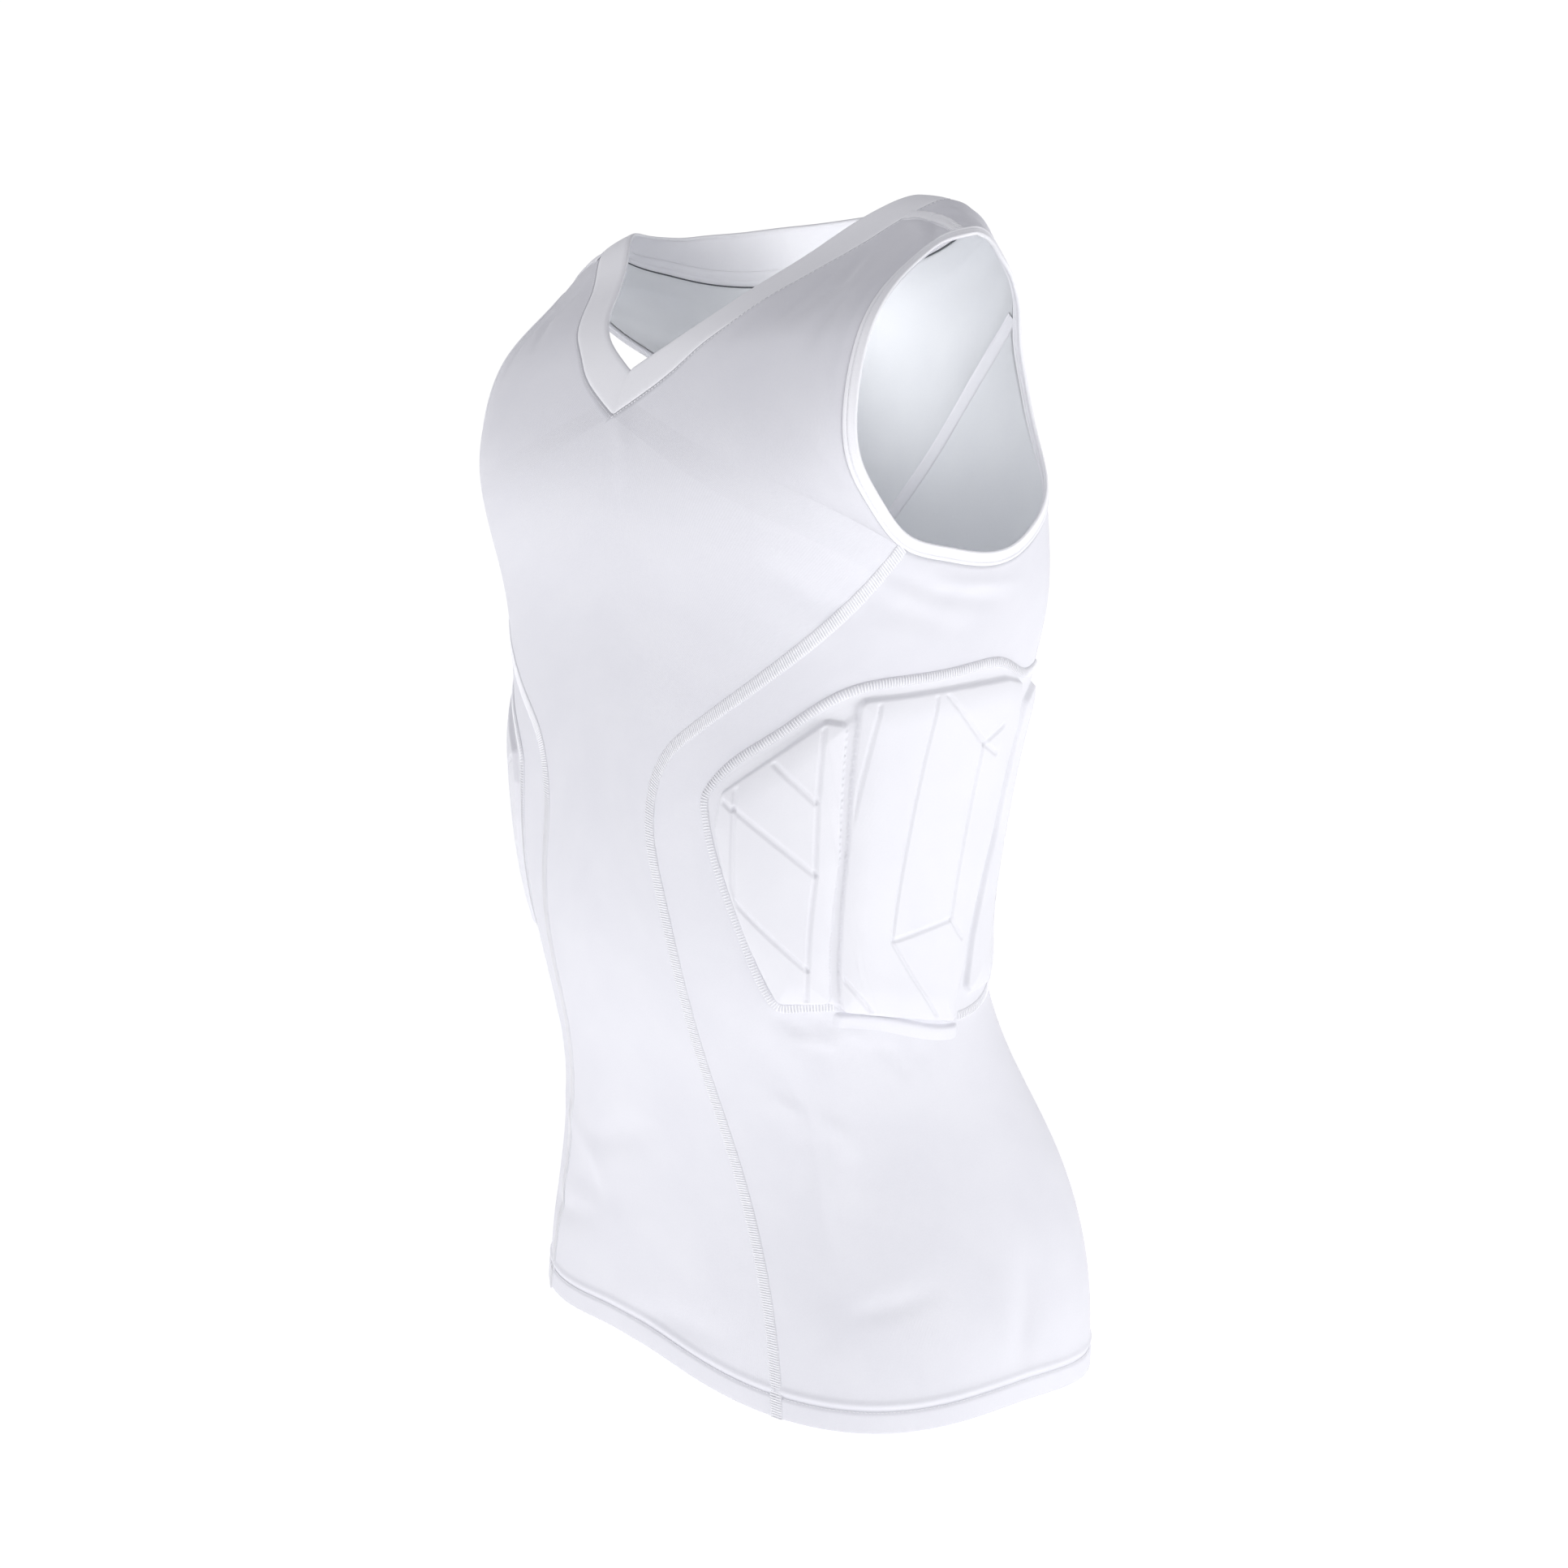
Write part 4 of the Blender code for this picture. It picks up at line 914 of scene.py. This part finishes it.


# By default a band's outer face is the seam ground, darkened as painted shade
def seam_band(name, line, offsets, over, under, heights=0.0, materials=(SEAM_GROUND_PAINTED_SHADE, TRIM)):
    """A closed band along a line: its heights above the cloth on both faces, across and along it."""
    grid = strip(line, np.array(offsets))
    along = np.broadcast_to(heights, grid.shape[:2])
    faces = [cloth_at(grid, np.array(over)[:, None] + along)]
    faces.append(cloth_at(grid, np.array(under)[:, None] + 0.0 * along)[::-1])
    if under[0] == over[0]:
        faces[1][[0, -1]] = faces[0][[-1, 0]]
    band = surface(name, faces, materials)
    outer_faces = (faces[0].shape[0] - 1) * (faces[0].shape[1] - 1)
    for face in list(band.data.polygons)[outer_faces:]:
        face.material_index = 1
    return attach(band, "front_panel")


# A flatlock seam's height across it, as shares of half its width
ACROSS = np.array([1.0, 0.97, 0.82, 0.4, 0.0, -0.4, -0.82, -0.97, -1.0])
ARCH = np.array([-0.6, 0.05, 0.42, 0.5, 0.36, 0.5, 0.42, 0.05, -0.6]) * MM
LADDER_POINTS = 7
LADDER_REACH = 0.94
ladder_rise = np.interp(np.linspace(-LADDER_REACH, LADDER_REACH, LADDER_POINTS), ACROSS[::-1], ARCH[::-1])
ladder_rise += 0.1 * MM
LADDER = thread_shape("ladder_stitch", [
    ((share - 0.5) * FLATLOCK_SLANT, (share - 0.5) * LADDER_REACH * SEAM_WIDTH, rise)
    for share, rise in zip(np.linspace(0.0, 1.0, LADDER_POINTS), ladder_rise)], THREAD_RADIUS)
# A short dash along a row, and a tick across the cover's edge: points in millimetres
DASH_PATH = [(-0.85, 0.0, -0.2), (-0.5, 0.0, 0.05), (0.0, 0.0, 0.12), (0.5, 0.0, 0.05), (0.85, 0.0, -0.2)]
TICK_PATH = [(0.0, -2.5, -0.75), (0.1, -1.9, 0.0), (0.0, 0.0, 0.32), (-0.1, 1.9, 0.1), (0.0, 2.5, -0.3)]
DASH = thread_shape("dash_stitch", np.array(DASH_PATH) * MM, 0.2 * MM)
TICK = thread_shape("edge_stitch", np.array(TICK_PATH) * MM, 0.32 * MM)


def flatlock(name, line, seed, at_hem=False):
    """A flat seam: a low band on both faces of the cloth, crossed by slanted threads."""
    length = lengths_along(figure(line))
    rise = hem_fold(length) if at_hem else 0.0 * length
    seam_band(name + "_band", line, ACROSS * SEAM_WIDTH / 2, ARCH, -CLOTH - ARCH, rise)
    stitch_row(name + "_stitches", line, FLATLOCK_PITCH, rise, LADDER, seed)


SEAM_STEPS = steps_for(0.75, CELL * 0.7)
front_seam_line = whole(FRONT_SEAM, SEAM_STEPS)
yoke_seam_line = whole(YOKE_SEAM, SEAM_STEPS // 3)
shoulder_seam_line = straight(NECK_AT_SHOULDER, TIP_AT_SHOULDER, SEAM_STEPS // 10)
flatlock("front_seam_left", front_seam_line, 1, at_hem=True)
flatlock("front_seam_right", right_hand(front_seam_line)[::-1], 2, at_hem=True)
flatlock("yoke_seam_left", yoke_seam_line, 3)
flatlock("yoke_seam_right", right_hand(yoke_seam_line), 4)
flatlock("back_seam", straight(HEM[-1], YOKE_POINT, SEAM_STEPS), 5, at_hem=True)
flatlock("shoulder_seam_left", shoulder_seam_line, 6)
flatlock("shoulder_seam_right", right_hand(shoulder_seam_line), 7)

# Inside the back neck, from a little behind the shoulder seams: a tape over the seam, edged with a thin dark
# grey strip of painted shadow, a dark line along the tape's edge. Offsets from the seam and heights above the
# cloth's inner face are in millimetres
FIRST_TAPED = 8
behind = yoke_top[::-1][FIRST_TAPED:]
behind = np.concatenate([behind, over_the_back(behind[::-1])[1:]])
TAPE_OFFSETS = [-1.0, -0.9, 0.0, 4.6, 5.2, 5.8, 9.8, 10.0]
TAPE_HEIGHTS = [0.1, -0.6, -0.8, -0.8, -0.5, -0.8, -0.7, 0.1]
# The strip of painted shadow along the tape's edge, in dark grey
SHADOW_LINE_OFFSETS = [9.9, 10.0, 10.6, 11.1, 11.2]
SHADOW_LINE_HEIGHTS = [0.1, -0.6, -0.9, -0.6, 0.1]
for name, offsets, heights, knit in (("neck_tape", TAPE_OFFSETS, TAPE_HEIGHTS, TRIM),
                                     ("neck_tape_edge", SHADOW_LINE_OFFSETS, SHADOW_LINE_HEIGHTS, GREY_PAINTED_SHADOW)):
    inside = np.array(heights) * MM - CLOTH
    outside = np.full(len(inside), inside[0])
    seam_band(name, behind, np.array(offsets) * MM, outside, inside, materials=(knit, knit))

# The cover's sewn edge, rounded at its corners
ROUNDING_PASSES = 14
ring = join(whole(COVER_BOTTOM, 160), whole(COVER_BACK, 100), whole(COVER_TOP, 180)[::-1],
            whole(COVER_FRONT, 100)[::-1])
ring = even(ring, round(lengths_along(figure(ring))[-1] / COVER_PITCH))[:-1]
for _ in range(ROUNDING_PASSES):
    ring = (np.roll(ring, 1, axis=0) + 2 * ring + np.roll(ring, -1, axis=0)) / 4
# The ring runs on past its start, so that a line walked beside it bends evenly there
ring = np.concatenate([ring[-3:], ring, ring[:4]])
COVER_EDGE = np.array([1.0, 0.8, 0.2, -1.0, -2.6, -4.0, -4.6, -4.8]) * MM
COVER_RISE = np.array([-0.2, 0.35, 0.8, 1.2, 1.35, 1.3, 1.1, 0.7]) * MM
COVER_FALL = np.full(len(COVER_EDGE), COVER_RISE[0])
TICK_INSIDE = 1.9 * MM
TICK_RISE = 1.25 * MM
TICK_TUCK = 3.0 * MM
for side, line in both_sides(ring):
    tucked = tuck(line[3:-3])
    sunk = -tucked * COVER_RISE.max()
    seam_band("cover_edge_" + side, line[3:-3], COVER_EDGE, COVER_RISE, COVER_FALL, sunk)
    middle = walk(line, -TICK_INSIDE)[3:-3]
    rise = TICK_RISE - tucked * TICK_TUCK
    stitch_row("cover_edge_stitches_" + side, middle, COVER_PITCH, rise, TICK, 8)

# The side panel's cloth, pushed up into a roll where the side pad stands over it, along the front part
# of the cover's lower edge
FOLD_OFFSETS = np.array([0.4, 1.2, 2.0, 2.8, 3.6, 5.0, 7.0, 9.5, 12.0]) * MM
FOLD_HEIGHTS = np.array([-0.4, -0.3, 0.6, 1.5, 2.1, 2.0, 1.3, 0.5, -0.4]) * MM
FOLD_UNDER = -0.5 * MM
fold_line = even(whole(COVER_BOTTOM, 200)[25:125], 120)
for side, line in both_sides(fold_line):
    share = tuck(line)
    grid = strip(line, FOLD_OFFSETS)
    over = FOLD_HEIGHTS[:, None] * share + FOLD_HEIGHTS[0] * (1 - share)
    faces = [cloth_at(grid, over), cloth_at(grid, np.full(over.shape, FOLD_UNDER))[::-1]]
    attach(surface("pad_fold_" + side, faces, [JERSEY]), "side_panel_" + side)

# Single rows: the neckband's seam, the hem's two needles and the bindings' fold
DASH_RISE = 0.15 * MM
NECK_ROW_BELOW = 1.4 * MM
hem_line = whole(HEM, SEAM_STEPS // 2)
for name, line, pitch, rise, seed in (
        ("neck_stitches_%s", walk(neck_seam, NECK_ROW_BELOW), NECK_PITCH, 0.0, 9),
        ("hem_stitches_%s_0", walk(hem_line, NEEDLES_APART - HEM_HEIGHT), HEM_PITCH, DASH_RISE, 11),
        ("hem_stitches_%s_1", walk(hem_line, -HEM_HEIGHT), HEM_PITCH, DASH_RISE, 11),
        ("binding_stitches_%s", walk(armhole_ring, -0.3 * BINDING_WIDTH), BINDING_PITCH, DASH_RISE, 13)):
    for number, (side, places) in enumerate(both_sides(line)):
        stitch_row(name % side, places, pitch, rise, DASH, seed + number)

# Camera: where the photo was taken from
CAMERA_TURN = np.radians(52.0)
CAMERA_AWAY = 1.240
CAMERA_ASIDE = 0.020
CAMERA_HEIGHT = -0.148
CAMERA_PITCH = np.radians(8.65)
CAMERA_LENS = 46.68
camera_data = bpy.data.cameras.new("camera")
camera_data.lens = CAMERA_LENS
camera = put("camera", camera_data)
away = np.array([np.sin(CAMERA_TURN), -np.cos(CAMERA_TURN), 0.0])
aside = np.array([np.cos(CAMERA_TURN), np.sin(CAMERA_TURN), 0.0])
camera.location = away * CAMERA_AWAY + aside * CAMERA_ASIDE + [0.0, 0.0, CAMERA_HEIGHT]
camera.rotation_euler = (np.pi / 2 - CAMERA_PITCH, 0.0, CAMERA_TURN)
bpy.context.scene.camera = camera

# Light: a white studio that is dimmer overhead, a lit floor, and soft lamps. The dimming starts just
# above the top of the picture
DIM_START, DIM_END = 0.21, 0.50
HORIZON = (1.04, 1.04, 1.04, 1.0)
OVERHEAD = (0.44, 0.44, 0.465, 1.0)
scene = bpy.context.scene
scene.view_settings.view_transform = "Standard"
world = bpy.data.worlds.new("white_studio")
scene.world = world
world.use_nodes = True
sky = world.node_tree
toward = add_node(sky, "ShaderNodeTexCoord", {}, "Generated")
high = add_node(sky, "ShaderNodeSeparateXYZ", {0: toward}, 2)
dimming = add_node(sky, "ShaderNodeMapRange", {0: high, 1: DIM_START, 2: DIM_END})
tone = add_node(sky, "ShaderNodeMix", {0: dimming, 6: HORIZON, 7: OVERHEAD}, 2, data_type="RGBA")
background = sky.nodes["Background"]
sky.links.new(tone, background.inputs["Color"])
background.inputs["Strength"].default_value = 1.0


def soft_lamp(name, place, target, size, watts):
    """A square lamp that the camera doesn't see."""
    data = bpy.data.lights.new(name, "AREA")
    data.size = size
    data.energy = watts
    lamp = put(name, data)
    lamp.location = place
    lamp.rotation_euler = (Vector(target) - Vector(place)).to_track_quat("-Z", "Y").to_euler()
    lamp.visible_camera = False


soft_lamp("side_lamp", (1.9, 0.8, -1.0), (0.0, 0.0, -0.66), 1.2, 17.5)
soft_lamp("low_lamp", (-0.1, -1.2, -1.25), (0.0, 0.0, -0.65), 1.0, 8.0)
soft_lamp("inner_lamp", (0.05, -0.02, -0.10), (0.09, 0.10, -0.07), 0.10, 0.07)

# Floor, well below the hem, so that the shirt stays held up in the air
FLOOR_HEIGHT = -1.4
FLOOR_REACH = 12.0
floor_mesh = bpy.data.meshes.new("floor")
quarters = ((-1, -1), (1, -1), (1, 1), (-1, 1))
floor_corners = [(x * FLOOR_REACH, y * FLOOR_REACH, FLOOR_HEIGHT) for x, y in quarters]
floor_mesh.from_pydata(floor_corners, [], [(0, 1, 2, 3)])
floor = put("floor", floor_mesh)
# A matt acrylic table lit from below, so that it reads as plain white
acrylic = new_material("lit_acrylic", Base_Color=(0.9, 0.9, 0.9, 1.0), Roughness=0.9,
                       Emission_Color=(1.0, 1.0, 1.0, 1.0), Emission_Strength=0.55)[0]
floor_mesh.materials.append(acrylic)
